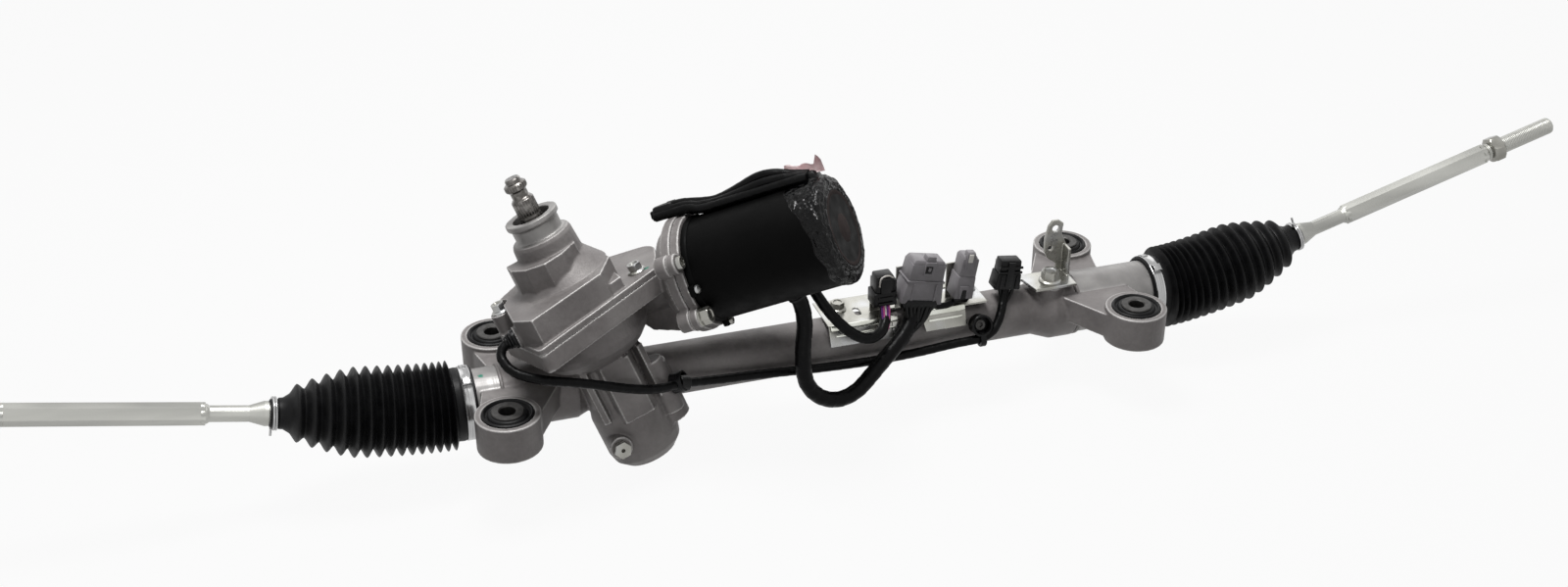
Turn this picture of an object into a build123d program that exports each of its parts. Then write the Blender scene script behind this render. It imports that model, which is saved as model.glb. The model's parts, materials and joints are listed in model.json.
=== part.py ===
from build123d import *
from math import acos, atan, cos, degrees, pi, radians, sin, tan
import os

os.makedirs("parts", exist_ok=True)

# Electric power steering rack with a motor on the pinion.
# Row frame: X along the rack towards the viewer's right, Y away from the viewer, Z up.
# The origin is on the rack axis, midway between the mounting bushes.

# Running clearances
running = 0.05
seat_gap = 0.02
soft_gap = 0.3

# Rack bar and its travel
rack_radius = 13.0
rack_travel = 65.0
rack_middle = 10.0
tube_end_reach = 300.0
ball_reach = 337.0
module = 1.8
pinion_teeth = 8
pressure_angle = 25.0
profile_shift = 0.35
tooth_backlash = 0.12

# Pinion tower: lean along the rack, lean back, and its place
pinion_x = -166.5
pinion_offset = 17.0
lean_along = 20.0
lean_back = 13.5
motor_swing = -33.0

# Housing casting
end_tube_radius = 25.5
end_bore_radius = 22.5
mid_tube_radius = 21.0
tube_bore_radius = 15.5
left_end_tube_length = 92.0
right_end_tube_length = 86.0
collar_radius = 27.0
lug_radius = 25.0
lug_height = 29.0
lug_top = 23.0
web_height = 21.0
front_lug_reach = 259.65
rear_lug_reach = 249.8
lug_offset = 59.8
bush_rubber_radius = 20.0
bush_sleeve_radius = 12.5
bush_bore_radius = 6.3
bush_sleeve_length = 34.0

# Heights along the pinion axis, from the rack axis
bulb_bottom = -60.0
bulb_top = -6.0
bowl_bottom = 38.0
split_height = 75.0
wheel_height = 54.0
flange_top = 80.0
cover_top = 101.0
block_top = 125.0
dome_top = 137.0
collar_top = 154.0
shaft_tip = 186.0

# Radii about the pinion axis
bulb_radius = 30.0
column_radius = 27.0
bowl_radius = 46.5
tower_radius = 25.0
cap_radius = 16.0
spline_radius = 8.6

# Worm gear and motor
worm_centre = 46.0
wheel_teeth = 41
worm_starts = 2
wheel_module = 1.8
wheel_width = 10.0
worm_backlash = 0.35
worm_length = 26.0
flange_face = 84.0
motor_radius = 41.5
motor_length = 125.0
motor_wall = 2.2
end_disc_radius = 30.0
lead_station = 146.0
lead_side = 193.5

# Tie rods
ball_radius = 13.0
seat_outer_radius = 16.0
socket_radius = 18.0
socket_back = 24.0
mouth = 6.9
rod_neck_radius = 6.8
rod_hex = 15.0
rod_thread_radius = 7.0
thread_pitch_radius = 6.5
nut_hex = 21.0
nut_thickness = 11.0
nut_station = 295.0
hex_start = 149.0
hex_end = 290.0
rod_length = 357.0
boot_groove = 100.0
left_rod_lift = 11.0
right_rod_lift = 16.3

# Boots and clamps
boot_peak = 35.0
boot_valley = 28.5
boot_wall = 1.6
boot_folds = 15
band_inset = 8.0
band_width = 8.0
band_thickness = 0.9

# Cables
power_cable_radius = 6.5
signal_cable_radius = 4.5
branch_cable_radius = 2.6
sensor_cable_radius = 3.75
harness_radius = 7.0
power_connector_base = (82.0, -15.0, 29.0)


# Directions and frames of the tilted parts
def unit(x, y, z):
    return Vector(x, y, z).normalized()


d_along = radians(lean_along)
d_back = radians(lean_back)
d_swing = radians(motor_swing)
up_shaft = Vector(-sin(d_along), cos(d_along) * sin(d_back), cos(d_along) * cos(d_back))
across = Vector(cos(d_along), sin(d_along) * sin(d_back), sin(d_along) * cos(d_back))
behind = up_shaft.cross(across)
motor_way = across * cos(d_swing) + behind * sin(d_swing)
worm_way = up_shaft.cross(motor_way)
pinion_origin = Vector(pinion_x, 0, 0) - behind * pinion_offset

clip_bearing = unit(0, -0.944, 0.33)
clip_x = 136.0
clip_plane = Plane(origin=(clip_x, 0, 0), x_dir=(1, 0, 0), z_dir=clip_bearing)
tower = Plane(origin=pinion_origin, x_dir=across, z_dir=up_shaft)
worm_origin = pinion_origin + worm_way * worm_centre + up_shaft * wheel_height
motor_plane = Plane(origin=worm_origin, x_dir=up_shaft, z_dir=motor_way)
guide_plane = Plane(origin=pinion_origin, x_dir=across, z_dir=behind)
rack_plane = Plane(origin=(0, 0, 0), x_dir=(0, 1, 0), z_dir=(1, 0, 0))

left_end = rack_middle - tube_end_reach
right_end = rack_middle + tube_end_reach
left_ball = rack_middle - ball_reach
right_ball = rack_middle + ball_reach
left_outward = Plane(origin=(left_ball, 0, 0), x_dir=(0, 1, 0), z_dir=(-1, 0, 0))
right_outward = Plane(origin=(right_ball, 0, 0), x_dir=(0, 1, 0), z_dir=(1, 0, 0))
left_rod_way = unit(-cos(radians(left_rod_lift)), 0, sin(radians(left_rod_lift)))
right_rod_way = unit(cos(radians(right_rod_lift)), 0, sin(radians(right_rod_lift)))
left_rod_plane = Plane(origin=(left_ball, 0, 0), x_dir=(0, 1, 0), z_dir=left_rod_way)
right_rod_plane = Plane(origin=(right_ball, 0, 0), x_dir=(0, 1, 0), z_dir=right_rod_way)


def place(frame, x, y, z):
    """A point given in a frame's own coordinates."""
    return frame.origin + frame.x_dir * x + frame.y_dir * y + frame.z_dir * z


def turned(frame, corners, mode=Mode.ADD):
    """A body of revolution about the frame's Z, from (radius, height) corners."""
    side = Plane(origin=frame.origin, x_dir=frame.x_dir, z_dir=frame.x_dir.cross(frame.z_dir))
    with BuildSketch(side) as profile:
        with BuildLine():
            Polyline(*corners, close=True)
        make_face()
    revolve(profile.sketch, axis=Axis(frame.origin, frame.z_dir), mode=mode)


def ring(frame, inner, outer, low, high, mode=Mode.ADD):
    """A plain ring or, with inner 0, a disc about the frame's Z."""
    turned(frame, [(inner, low), (outer, low), (outer, high), (inner, high)], mode)


def prism(frame, low, high, corners, mode=Mode.ADD):
    """A straight prism on a polygon drawn in the frame."""
    with BuildSketch(frame.offset(low)) as profile:
        with BuildLine():
            Polyline(*corners, close=True)
        make_face()
    extrude(profile.sketch, amount=high - low, mode=mode)


def post(frame, x, y, radius, low, high, mode=Mode.ADD):
    """A round post or hole away from the frame's own axis."""
    with BuildSketch(frame.offset(low)) as profile:
        with Locations((x, y)):
            Circle(radius)
    extrude(profile.sketch, amount=high - low, mode=mode)


def hexagon(frame, x, y, flats, low, high, mode=Mode.ADD):
    """A hexagonal prism, flats being the size across its flats."""
    with BuildSketch(frame.offset(low)) as profile:
        with Locations((x, y)):
            RegularPolygon(radius=flats / 2, side_count=6, major_radius=False)
    extrude(profile.sketch, amount=high - low, mode=mode)


def flange_bolt(frame, x, y, seat, flats, shank_radius, depth):
    """A flange-head bolt whose head stands on height seat and whose shank goes down by depth."""
    post(frame, x, y, flats * 0.72, seat, seat + flats * 0.16)
    hexagon(frame, x, y, flats, seat + flats * 0.16, seat + flats * 0.72)
    post(frame, x, y, shank_radius, seat - depth, seat)


def cable(route, radius):
    """A tube of straight runs joined by arcs as large as the runs allow."""
    points = [Vector(*p) for p in route]
    radii = []
    for i in range(1, len(points) - 1):
        before = points[i] - points[i - 1]
        after = points[i + 1] - points[i]
        shorter = min(before.length, after.length)
        half_turn = radians(before.get_angle(after)) / 2
        radii.append(0.45 * shorter / tan(half_turn))
    print("cable radii", [round(r, 1) for r in radii])
    with BuildLine() as path:
        FilletPolyline(*points, radius=radii)
    line = path.wires()[0]
    start = Plane(origin=line @ 0, z_dir=line % 0)
    with BuildSketch(start) as section:
        Circle(radius)
    sweep(section.sketch, path=line)
    print("cable length", round(line.length, 1), "section x length", round(pi * radius**2 * line.length))


def finish(piece, name):
    """Label a finished piece and write its STEP file."""
    piece.part.label = name
    export_step(piece.part, "parts/" + name + ".step")


# Values shared by mating pieces
lug_places = [
    (-front_lug_reach, -lug_offset),
    (front_lug_reach, -lug_offset),
    (-rear_lug_reach, lug_offset),
    (rear_lug_reach, lug_offset),
]
rack_speed = cos(d_along)
pinion_pitch = module * pinion_teeth / 2
tooth_mid = pinion_offset - pinion_pitch - module * profile_shift
rack_tip = tooth_mid + module
pinion_tip = pinion_pitch + module * (1 + profile_shift) - 0.33
rack_root = pinion_offset - pinion_tip - 0.35
pinion_root = pinion_pitch - module * (1.25 - profile_shift)
rack_pitch = pi * module
end_bore_depth = rack_travel + socket_back - (ball_reach - tube_end_reach) + 8
bearing_low = 24.0
bearing_high = 34.0
lower_bearing_low = -44.0
lower_bearing_high = -34.0
upper_bearing_low = 116.0
upper_bearing_high = 125.0
ball_bearing_radius = 17.5
upper_bearing_radius = 16.0
lower_bearing_radius = 16.0
pinion_bore = pinion_tip + 1.0
wheel_pitch = wheel_module * wheel_teeth / 2
worm_pitch = worm_centre - wheel_pitch
worm_tip = worm_pitch + 0.9 * wheel_module
worm_root = worm_pitch - 1.15 * wheel_module
wheel_tip = wheel_pitch + 0.85 * wheel_module
wheel_root = wheel_pitch - 1.1 * wheel_module
axial_pitch = pi * wheel_module
worm_lead = worm_starts * axial_pitch

hook_boss = (205.5, -8.3)
hook_boss_top = 27.0
bracket_bosses = [(24, 8), (138, 8)]
bracket_boss_top = 23.2
motor_bolt_places = [(-18.8, 45.4), (18.8, -45.4)]
motor_screw_places = [(26.5, 41.3), (-26.5, -41.3)]

# Outline of the gear housing's top flange, seen along the pinion axis
front_left = (-41.0, -67.0)
front_right = (63.0, -24.0)
cover_ear = (-53.0, 8.0)
cover_bolt_places = [(51.5, -15.0), cover_ear, (-20.0, 50.0)]
cover_bolt_seats = [flange_top, 95.0, 88.0]
worm_far = -44.0
worm_near = 56.0
tunnel_radius = 20.0


def worm_place(s):
    """Where the worm axis passes at station s, in the tower's plane."""
    x = worm_centre * -sin(d_swing) + s * cos(d_swing)
    y = worm_centre * cos(d_swing) + s * sin(d_swing)
    return (x, y)


def gear_outline(frame, low, high, shrink=0.0, mode=Mode.ADD):
    """The flange outline: the bowl, the two front corners and the worm tunnel in one hull."""
    with BuildSketch(frame.offset(low)) as outline:
        Circle(bowl_radius - shrink)
        with Locations(front_left):
            Circle(4.0)
        with Locations(front_right):
            Circle(4.0)
        with Locations(worm_place(worm_far + tunnel_radius - 14)):
            Circle(tunnel_radius - shrink)
        with Locations(worm_place(worm_near - tunnel_radius)):
            Circle(tunnel_radius - shrink)
        with Locations(cover_ear):
            Circle(9.0)
        make_hull()
    extrude(outline.sketch, amount=high - low, mode=mode)


stub_plane = Plane(origin=place(tower, -21, 0, -36), x_dir=across, z_dir=-behind)
grommet_plane = Plane(origin=place(tower, -50, -38, 86), x_dir=up_shaft, z_dir=-across)


def motor_neck(grow, mode=Mode.ADD):
    """The bell between the worm tunnel and the motor's flange."""
    turned(
        motor_plane,
        [
            (0, 59 - grow),
            (tunnel_radius, 59 - grow),
            (37 + grow, 67 - grow),
            (40.5 + grow, 72 - grow),
            (40.5 + grow, 76 - grow),
            (46.5 + grow, 76 - grow),
            (46.5 + grow, flange_face),
            (0, flange_face),
        ],
        mode,
    )


# Rack housing: tubes, lugs, pinion bulb, gear bowl, worm tunnel and motor neck in one casting
with BuildPart() as rack_housing:
    ring(rack_plane, 0, mid_tube_radius, left_end + 20, right_end - 20)
    ring(rack_plane, 0, end_tube_radius, left_end, left_end + left_end_tube_length)
    ring(rack_plane, 0, end_tube_radius, right_end - right_end_tube_length, right_end)
    collar_end = right_end - right_end_tube_length
    turned(
        rack_plane,
        [
            (0, collar_end - 34),
            (mid_tube_radius, collar_end - 34),
            (collar_radius, collar_end - 18),
            (collar_radius, collar_end + 1),
            (0, collar_end + 1),
        ],
    )
    turned(
        rack_plane,
        [
            (0, left_end + left_end_tube_length - 1),
            (end_tube_radius, left_end + left_end_tube_length - 1),
            (mid_tube_radius, left_end + left_end_tube_length + 10),
            (0, left_end + left_end_tube_length + 10),
        ],
    )
    # Mounting lugs with their webs
    for x, y in lug_places:
        post(Plane.XY, x, y, lug_radius, lug_top - lug_height, lug_top)
        lean = 16 if x > 0 else -16
        with BuildSketch(Plane.XY.offset(lug_top - lug_height + 4)) as web:
            with Locations((x, y)):
                Circle(lug_radius - 3)
            with Locations((x - lean * 1.1, y * 0.3)):
                Rectangle(58, 10)
            make_hull()
        extrude(web.sketch, amount=web_height)
    # Pinion bulb, column and gear bowl about the tilted pinion axis
    turned(
        tower,
        [
            (0, bulb_bottom - 3),
            (bulb_radius - 9, bulb_bottom - 3),
            (bulb_radius - 2, bulb_bottom + 4),
            (bulb_radius, bulb_bottom + 12),
            (bulb_radius, bulb_top - 10),
            (column_radius, bulb_top),
            (column_radius, bowl_bottom - 10),
            (bowl_radius - 9, bowl_bottom - 4),
            (bowl_radius - 2, bowl_bottom + 3),
            (bowl_radius, bowl_bottom + 9),
            (bowl_radius, split_height),
            (0, split_height),
        ],
    )
    post(tower, 27, -4, 15, -44, 4)
    post(tower, 30, -16, 9, -34, 12)
    # Flat pad and ribs on the front of the column
    prism(tower, -20, 30, [(-11, -26), (-9, -33), (15, -33), (19, -24)])
    prism(tower, -16, 34, [(-21, -10), (-24, -24), (-19, -26), (-14, -14)])
    prism(tower, -16, 30, [(26, -6), (30, -22), (25, -26), (20, -12)])
    # Band under the cover joint
    gear_outline(tower, split_height - 6, split_height)
    gear_outline(tower, split_height - 15, split_height - 6, 6.0)
    # Worm tunnel and motor neck
    ring(motor_plane, 0, tunnel_radius, worm_far - 3, 64)
    motor_neck(0)
    for x, y in motor_bolt_places + motor_screw_places:
        post(motor_plane, x, y, 8.5, 74, flange_face)
    # Ribs from the neck down to the tube
    prism(
        Plane(origin=place(motor_plane, -20, 8, 0), x_dir=motor_way, z_dir=worm_way),
        0,
        5,
        [(20, 0), (74, -24), (66, 26), (30, 14)],
    )
    # Rack guide boss behind the bar
    ring(guide_plane, 0, 19.5, 8, pinion_offset + 43)
    # Boss and hex-ended breather stub low on the bulb
    post(stub_plane, 0, 0, 9, 8, 31)
    # Bracket bosses on the tube
    post(Plane.XY, *hook_boss, 12.2, 2, hook_boss_top)
    for x, y in bracket_bosses:
        post(Plane.XY, x, y, 8, 0, bracket_boss_top)
    # Cable clip bosses
    post(clip_plane, 0, 0, 6.5, 10, 23)

    # Bores
    bore = Mode.SUBTRACT
    ring(rack_plane, 0, tube_bore_radius, left_end - 1, right_end + 1, bore)
    ring(rack_plane, 0, end_bore_radius, left_end - 1, left_end + end_bore_depth, bore)
    ring(rack_plane, 0, end_bore_radius, right_end - end_bore_depth, right_end + 1, bore)
    for x, y in lug_places:
        post(Plane.XY, x, y, bush_rubber_radius, lug_top - lug_height - 1, lug_top + 1, bore)
    turned(
        tower,
        [
            (0, bulb_bottom - 4),
            (cap_radius, bulb_bottom - 4),
            (cap_radius, lower_bearing_high),
            (pinion_bore, lower_bearing_high),
            (pinion_bore, bearing_low),
            (ball_bearing_radius, bearing_low),
            (ball_bearing_radius, wheel_height - wheel_width / 2 - 4),
            (bowl_radius - 4.5, wheel_height - wheel_width / 2 - 4),
            (bowl_radius - 4.5, split_height + 1),
            (0, split_height + 1),
        ],
        bore,
    )
    turned(
        motor_plane,
        [
            (0, worm_far + 2),
            (11, worm_far + 2),
            (11, worm_far + 10),
            (worm_tip + 0.9, worm_far + 10),
            (worm_tip + 0.9, 48),
            (14, 48),
            (14, 58),
            (17, 58),
            (17, 74),
            (33, 78),
            (33, flange_face + 1),
            (0, flange_face + 1),
        ],
        bore,
    )
    ring(guide_plane, 0, 15.05, 6, pinion_offset + 44, bore)
    for x, y in cover_bolt_places:
        post(tower, x, y, 3.02, split_height - 16, split_height + 1, bore)
    for x, y in motor_bolt_places:
        post(motor_plane, x, y, 4.02, 64, flange_face + 1, bore)
    for x, y in motor_screw_places:
        post(motor_plane, x, y, 3.02, 70, flange_face + 1, bore)
    post(Plane.XY, *hook_boss, 4.02, 16, hook_boss_top + 1, bore)
    for x, y in bracket_bosses:
        post(Plane.XY, x, y, 3.02, 16.5, bracket_boss_top + 1, bore)
    post(clip_plane, 0, 0, 3.02, 17, 24, bore)
    post(stub_plane, 0, 0, 4.02, 22, 32, bore)
finish(rack_housing, "rack_housing")

# Cover over the torque sensor, with the round tower that carries the input shaft
with BuildPart() as sensor_cover:
    gear_outline(tower, split_height, flange_top)
    prism(
        tower,
        flange_top,
        cover_top,
        [(-38, -65), (24, -42), (38, -14), (30, 34), (-16, 46), (-49, 18), (-50, -46)],
    )
    prism(
        tower,
        flange_top,
        flange_top + 9,
        [(-8, -52.5), (37, -34), (36, -18), (28, 0), (-8, 0)],
    )
    for (x, y), seat in zip(cover_bolt_places[1:], cover_bolt_seats[1:]):
        post(tower, x, y, 8.5, flange_top - 1, seat)
    turned(
        tower,
        [
            (0, cover_top - 1),
            (38, cover_top - 1),
            (28, cover_top + 11),
            (tower_radius, cover_top + 15),
            (tower_radius - 1.2, dome_top - 3),
            (tower_radius - 2.5, dome_top),
            (18.6, dome_top + 1),
            (18.6, collar_top - 6),
            (21, collar_top - 4),
            (21, collar_top),
            (0, collar_top),
        ],
    )
    # Stepped block on the near left of the tower
    with BuildSketch(tower.offset(cover_top - 1)) as block:
        with BuildLine():
            Polyline((-34, 6), (-33, -10), (-24, -25), (-9, -33), (6, -29), (19, -18), (19, 6), close=True)
        make_face()
    extrude(block.sketch, amount=block_top - cover_top + 1)
    # Grommet boss on the left end
    post(grommet_plane, 0, 0, 8.5, -6, 3)
    cavity = Mode.SUBTRACT
    turned(
        tower,
        [
            (0, split_height - 1),
            (bowl_radius - 4.5, split_height - 1),
            (bowl_radius - 4.5, flange_top - 2),
            (24.8, flange_top - 2),
            (24.8, cover_top + 4),
            (upper_bearing_radius, cover_top + 4),
            (upper_bearing_radius, upper_bearing_high),
            (12, upper_bearing_high),
            (12, collar_top - 16),
            (15, collar_top - 16),
            (15, collar_top + 1),
            (0, collar_top + 1),
        ],
        cavity,
    )
    for x, y in cover_bolt_places:
        post(tower, x, y, 3.3, split_height - 1, cover_top, cavity)
    motor_neck(0.8, cavity)
    for (x, y), seat in zip(cover_bolt_places, cover_bolt_seats):
        post(tower, x, y, 7.9, seat, cover_top + 20, cavity)
finish(sensor_cover, "sensor_cover")

with BuildPart() as cover_bolts:
    for (x, y), seat in zip(cover_bolt_places, cover_bolt_seats):
        flange_bolt(tower, x, y, seat + seat_gap, 10, 3.0, seat - split_height + 14)
finish(cover_bolts, "cover_bolts")

# Rubber bushes pressed into the lugs, each bonded to a steel sleeve
bush_middle = lug_top - lug_height / 2
sleeve_low = bush_middle - bush_sleeve_length / 2
sleeve_high = bush_middle + bush_sleeve_length / 2
with BuildPart() as bush_rubbers:
    for x, y in lug_places:
        bush = Plane(origin=(x, y, 0), x_dir=(1, 0, 0), z_dir=(0, 0, 1))
        outer = bush_rubber_radius - seat_gap
        inner = bush_sleeve_radius + seat_gap
        turned(
            bush,
            [
                (inner, lug_top - lug_height),
                (outer, lug_top - lug_height),
                (outer, lug_top),
                (inner + 5, lug_top + 1.2),
                (inner, lug_top + 0.6),
            ],
        )
finish(bush_rubbers, "bush_rubbers")

with BuildPart() as bush_sleeves:
    for x, y in lug_places:
        bush = Plane(origin=(x, y, 0), x_dir=(1, 0, 0), z_dir=(0, 0, 1))
        ring(bush, bush_bore_radius, bush_sleeve_radius, sleeve_low, sleeve_high)
finish(bush_sleeves, "bush_sleeves")

# Rack bar with slanted teeth that face the pinion
teeth_reach = rack_travel + 24
tooth_cut = 50.0
tooth_plane = Plane(origin=(pinion_x, 0, 0), x_dir=across, z_dir=up_shaft)
left_bar_end = left_ball + socket_back + seat_gap
right_bar_end = right_ball - socket_back - seat_gap
with BuildPart() as rack_bar:
    turned(
        rack_plane,
        [
            (0, left_bar_end),
            (rack_radius - 2, left_bar_end),
            (rack_radius, left_bar_end + 2),
            (rack_radius, right_bar_end - 2),
            (rack_radius - 2, right_bar_end),
            (0, right_bar_end),
        ],
    )
    # The toothed flat, then one slanted gap for each tooth pitch
    flat_half = teeth_reach * rack_speed
    prism(
        tooth_plane,
        -tooth_cut,
        tooth_cut,
        [
            (-flat_half, -rack_tip),
            (-flat_half, -rack_radius - 4),
            (flat_half, -rack_radius - 4),
            (flat_half, -rack_tip),
        ],
        Mode.SUBTRACT,
    )
    flank = tan(radians(pressure_angle))
    gap_at_mid = rack_pitch / 2 + tooth_backlash / 2
    gap_top = gap_at_mid / 2 + (rack_tip + 0.5 - tooth_mid) * flank
    gap_root = gap_at_mid / 2 - (tooth_mid - rack_root) * flank
    gap_count = int(flat_half / rack_pitch) - 1
    with BuildSketch(tooth_plane.offset(-tooth_cut)) as gaps:
        for i in range(-gap_count, gap_count + 1):
            middle = i * rack_pitch
            with BuildLine():
                Polyline(
                    (middle - gap_root, -rack_root),
                    (middle + gap_root, -rack_root),
                    (middle + gap_top, -rack_tip - 0.5),
                    (middle - gap_top, -rack_tip - 0.5),
                    close=True,
                )
            make_face()
    extrude(gaps.sketch, amount=2 * tooth_cut, mode=Mode.SUBTRACT)
    # Threaded ends that take the ball sockets
    ring(rack_plane, 0, 8.02, left_bar_end - 1, left_bar_end + 20, Mode.SUBTRACT)
    ring(rack_plane, 0, 8.02, right_bar_end - 20, right_bar_end + 1, Mode.SUBTRACT)
finish(rack_bar, "rack_bar")


def ball_socket(outward):
    """A socket with its threaded stud: Z runs outward from the ball centre."""
    turned(
        outward,
        [
            (0, -socket_back - 20),
            (8, -socket_back - 20),
            (8, -socket_back),
            (15, -socket_back),
            (socket_radius, -socket_back + 4),
            (socket_radius, 0),
            (socket_radius - 1.6, mouth),
            (0, mouth),
        ],
    )
    with Locations(outward.origin):
        Sphere(seat_outer_radius + running, mode=Mode.SUBTRACT)
    for side in (-1, 1):
        prism(
            outward,
            -socket_back - 1,
            -socket_back + 9,
            [(-20, side * 16.5), (20, side * 16.5), (20, side * 24), (-20, side * 24)],
            Mode.SUBTRACT,
        )


def ball_seat(outward):
    """The plastic liner between ball and socket, open at the mouth."""
    with Locations(outward.origin):
        Sphere(seat_outer_radius)
        Sphere(ball_radius + running, mode=Mode.SUBTRACT)
    ring(outward, 0, 20, mouth - 0.2, 20, Mode.SUBTRACT)


with BuildPart() as left_ball_socket:
    ball_socket(left_outward)
finish(left_ball_socket, "left_ball_socket")

with BuildPart() as right_ball_socket:
    ball_socket(right_outward)
finish(right_ball_socket, "right_ball_socket")

with BuildPart() as left_ball_seat:
    ball_seat(left_outward)
finish(left_ball_seat, "left_ball_seat")

with BuildPart() as right_ball_seat:
    ball_seat(right_outward)
finish(right_ball_seat, "right_ball_seat")


# Tie rods: ball, neck, boot groove, hexagonal shank and threaded end
def tie_rod(rod):
    """One tie rod with its ball at the frame's origin."""
    turned(
        rod,
        [
            (0, 8),
            (rod_neck_radius, 8),
            (rod_neck_radius, 30),
            (8, 40),
            (8, boot_groove - 8),
            (9.5, boot_groove - 6),
            (9.5, boot_groove - 4),
            (8.5, boot_groove - 3.5),
            (8.5, boot_groove + 3.5),
            (9.5, boot_groove + 4),
            (9.5, boot_groove + 7),
            (6.2, boot_groove + 18),
            (6.2, hex_start - 3),
            (7.2, hex_start),
            (0, hex_start),
        ],
    )
    with Locations(rod.origin):
        Sphere(ball_radius)
    hexagon(rod, 0, 0, rod_hex, hex_start, hex_end)
    turned(
        rod,
        [
            (0, hex_end - 1),
            (thread_pitch_radius - seat_gap, hex_end - 1),
            (thread_pitch_radius - seat_gap, nut_station + nut_thickness + 0.2),
            (rod_thread_radius, nut_station + nut_thickness + 0.2),
            (rod_thread_radius, rod_length - 2),
            (rod_thread_radius - 2, rod_length),
            (0, rod_length),
        ],
    )


def locknut(rod):
    """The locknut on the rod's thread, which it meets at the thread's pitch radius."""
    nut_end = nut_station + nut_thickness
    hexagon(rod, 0, 0, nut_hex, nut_station, nut_end)
    ring(rod, 0, thread_pitch_radius + seat_gap, nut_station - 1, nut_end + 1, Mode.SUBTRACT)
    for side in (1, -1):
        face = nut_station if side < 0 else nut_end
        turned(
            rod,
            [
                (nut_hex / 2 - 0.2, face + side * 1),
                (nut_hex / 2 + 4, face + side * 1),
                (nut_hex / 2 + 4, face - side * 2.3),
            ],
            Mode.SUBTRACT,
        )


with BuildPart() as left_tie_rod:
    tie_rod(left_rod_plane)
finish(left_tie_rod, "left_tie_rod")

with BuildPart() as right_tie_rod:
    tie_rod(right_rod_plane)
finish(right_tie_rod, "right_tie_rod")

with BuildPart() as left_locknut:
    locknut(left_rod_plane)
finish(left_locknut, "left_locknut")

with BuildPart() as right_locknut:
    locknut(right_rod_plane)
finish(right_locknut, "right_locknut")


# Boots: convoluted shells along a curve from the tube end to the rod
def boot_station(outward, rod, share):
    """Point and direction of the boot's centre line, share running from 0 to 1."""
    start = outward.origin - outward.z_dir * (ball_reach - tube_end_reach)
    middle = outward.origin
    end = rod.origin + rod.z_dir * (boot_groove - 5)
    point = start * (1 - share) ** 2 + middle * (2 * share * (1 - share)) + end * share**2
    way = (middle - start) * (1 - share) + (end - middle) * share
    return Plane(origin=point, x_dir=(0, 1, 0), z_dir=way)


def boot_radius(share, ridge):
    """Radius of a ridge or valley, narrowing over the last third."""
    full = boot_peak if ridge else boot_valley
    small = 17.5 if ridge else 12.5
    if share < 0.66:
        return full
    fall = (share - 0.66) / 0.34
    return full - (full - small) * fall**1.5


def boot_skin(outward, rod, thinner, mode=Mode.ADD):
    """The boot's outer or inner skin as one ruled loft through ridges and valleys."""
    steps = boot_folds * 2
    with BuildSketch(boot_station(outward, rod, 0.0)) as first:
        Circle(end_tube_radius + 3.2 - thinner)
    rings = [first.sketch]
    for i in range(1, steps):
        share = 0.03 + 0.94 * i / steps
        with BuildSketch(boot_station(outward, rod, share)) as fold:
            Circle(boot_radius(share, i % 2 == 1) - thinner)
        rings.append(fold.sketch)
    with BuildSketch(boot_station(outward, rod, 1.0)) as last:
        Circle(11.8 - thinner)
    rings.append(last.sketch)
    loft(rings, ruled=True, mode=mode)


def boot(outward, rod):
    """One boot with its cuff on the tube and its cuff on the rod."""
    reach = ball_reach - tube_end_reach
    boot_skin(outward, rod, 0)
    boot_skin(outward, rod, boot_wall, Mode.SUBTRACT)
    cuff = end_tube_radius + soft_gap
    ring(outward, cuff, end_tube_radius + 2.6, -reach - 14, -reach + 1.5)
    ring(rod, 9.5 + soft_gap, 11.8, boot_groove - 6.5, boot_groove - 3.1)
    ring(rod, 8.5 + soft_gap, 10.9, boot_groove - 3.2, boot_groove + 3.2)


with BuildPart() as left_boot:
    boot(left_outward, left_rod_plane)
finish(left_boot, "left_boot")

with BuildPart() as right_boot:
    boot(right_outward, right_rod_plane)
finish(right_boot, "right_boot")


def boot_band(outward):
    """A band clamp with its closed ear on top of the boot's cuff."""
    inner = end_tube_radius + 2.6 + seat_gap
    middle = -(ball_reach - tube_end_reach) - band_inset
    low = middle - band_width / 2
    ring(outward, inner, inner + band_thickness, low, low + band_width)
    ear = Plane(origin=outward.origin, x_dir=outward.z_dir, z_dir=unit(0, -0.45, 0.9))
    prism(
        ear,
        inner + band_thickness - 0.2,
        inner + band_thickness + 4,
        [(low, -3.5), (low + band_width, -3.5), (low + band_width, 3.5), (low, 3.5)],
    )


def rod_clip(rod):
    """A spring wire clip with two turns and two finger tangs."""
    for shift in (-1.3, 1.3):
        ring(rod, 10.9 + seat_gap, 12.9, boot_groove + shift - 1.1, boot_groove + shift + 1.1)
    ring(rod, 10.9 + seat_gap, 11.9, boot_groove - 1.3, boot_groove + 1.3)
    upward = rod.z_dir.cross(rod.x_dir)
    if upward.Z < 0:
        upward = -upward
    for side in (-1, 1):
        tang = Plane(origin=rod.origin, x_dir=rod.z_dir, z_dir=upward + rod.x_dir * (side * 0.25))
        prism(
            tang,
            12,
            18,
            [
                (boot_groove + side * 1.3 - 1, -1),
                (boot_groove + side * 1.3 + 1, -1),
                (boot_groove + side * 1.3 + 1, 1),
                (boot_groove + side * 1.3 - 1, 1),
            ],
        )


with BuildPart() as boot_bands:
    boot_band(left_outward)
    boot_band(right_outward)
finish(boot_bands, "boot_bands")

with BuildPart() as left_rod_clip:
    rod_clip(left_rod_plane)
finish(left_rod_clip, "left_rod_clip")

with BuildPart() as right_rod_clip:
    rod_clip(right_rod_plane)
finish(right_rod_clip, "right_rod_clip")


# Pinion with involute teeth cut straight along its axis
def involute_turn(radius, base, pressure):
    """How far an involute flank has turned at a radius, against its pitch point."""
    here = acos(min(1.0, base / radius))
    return tan(pressure) - pressure - tan(here) + here


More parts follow.
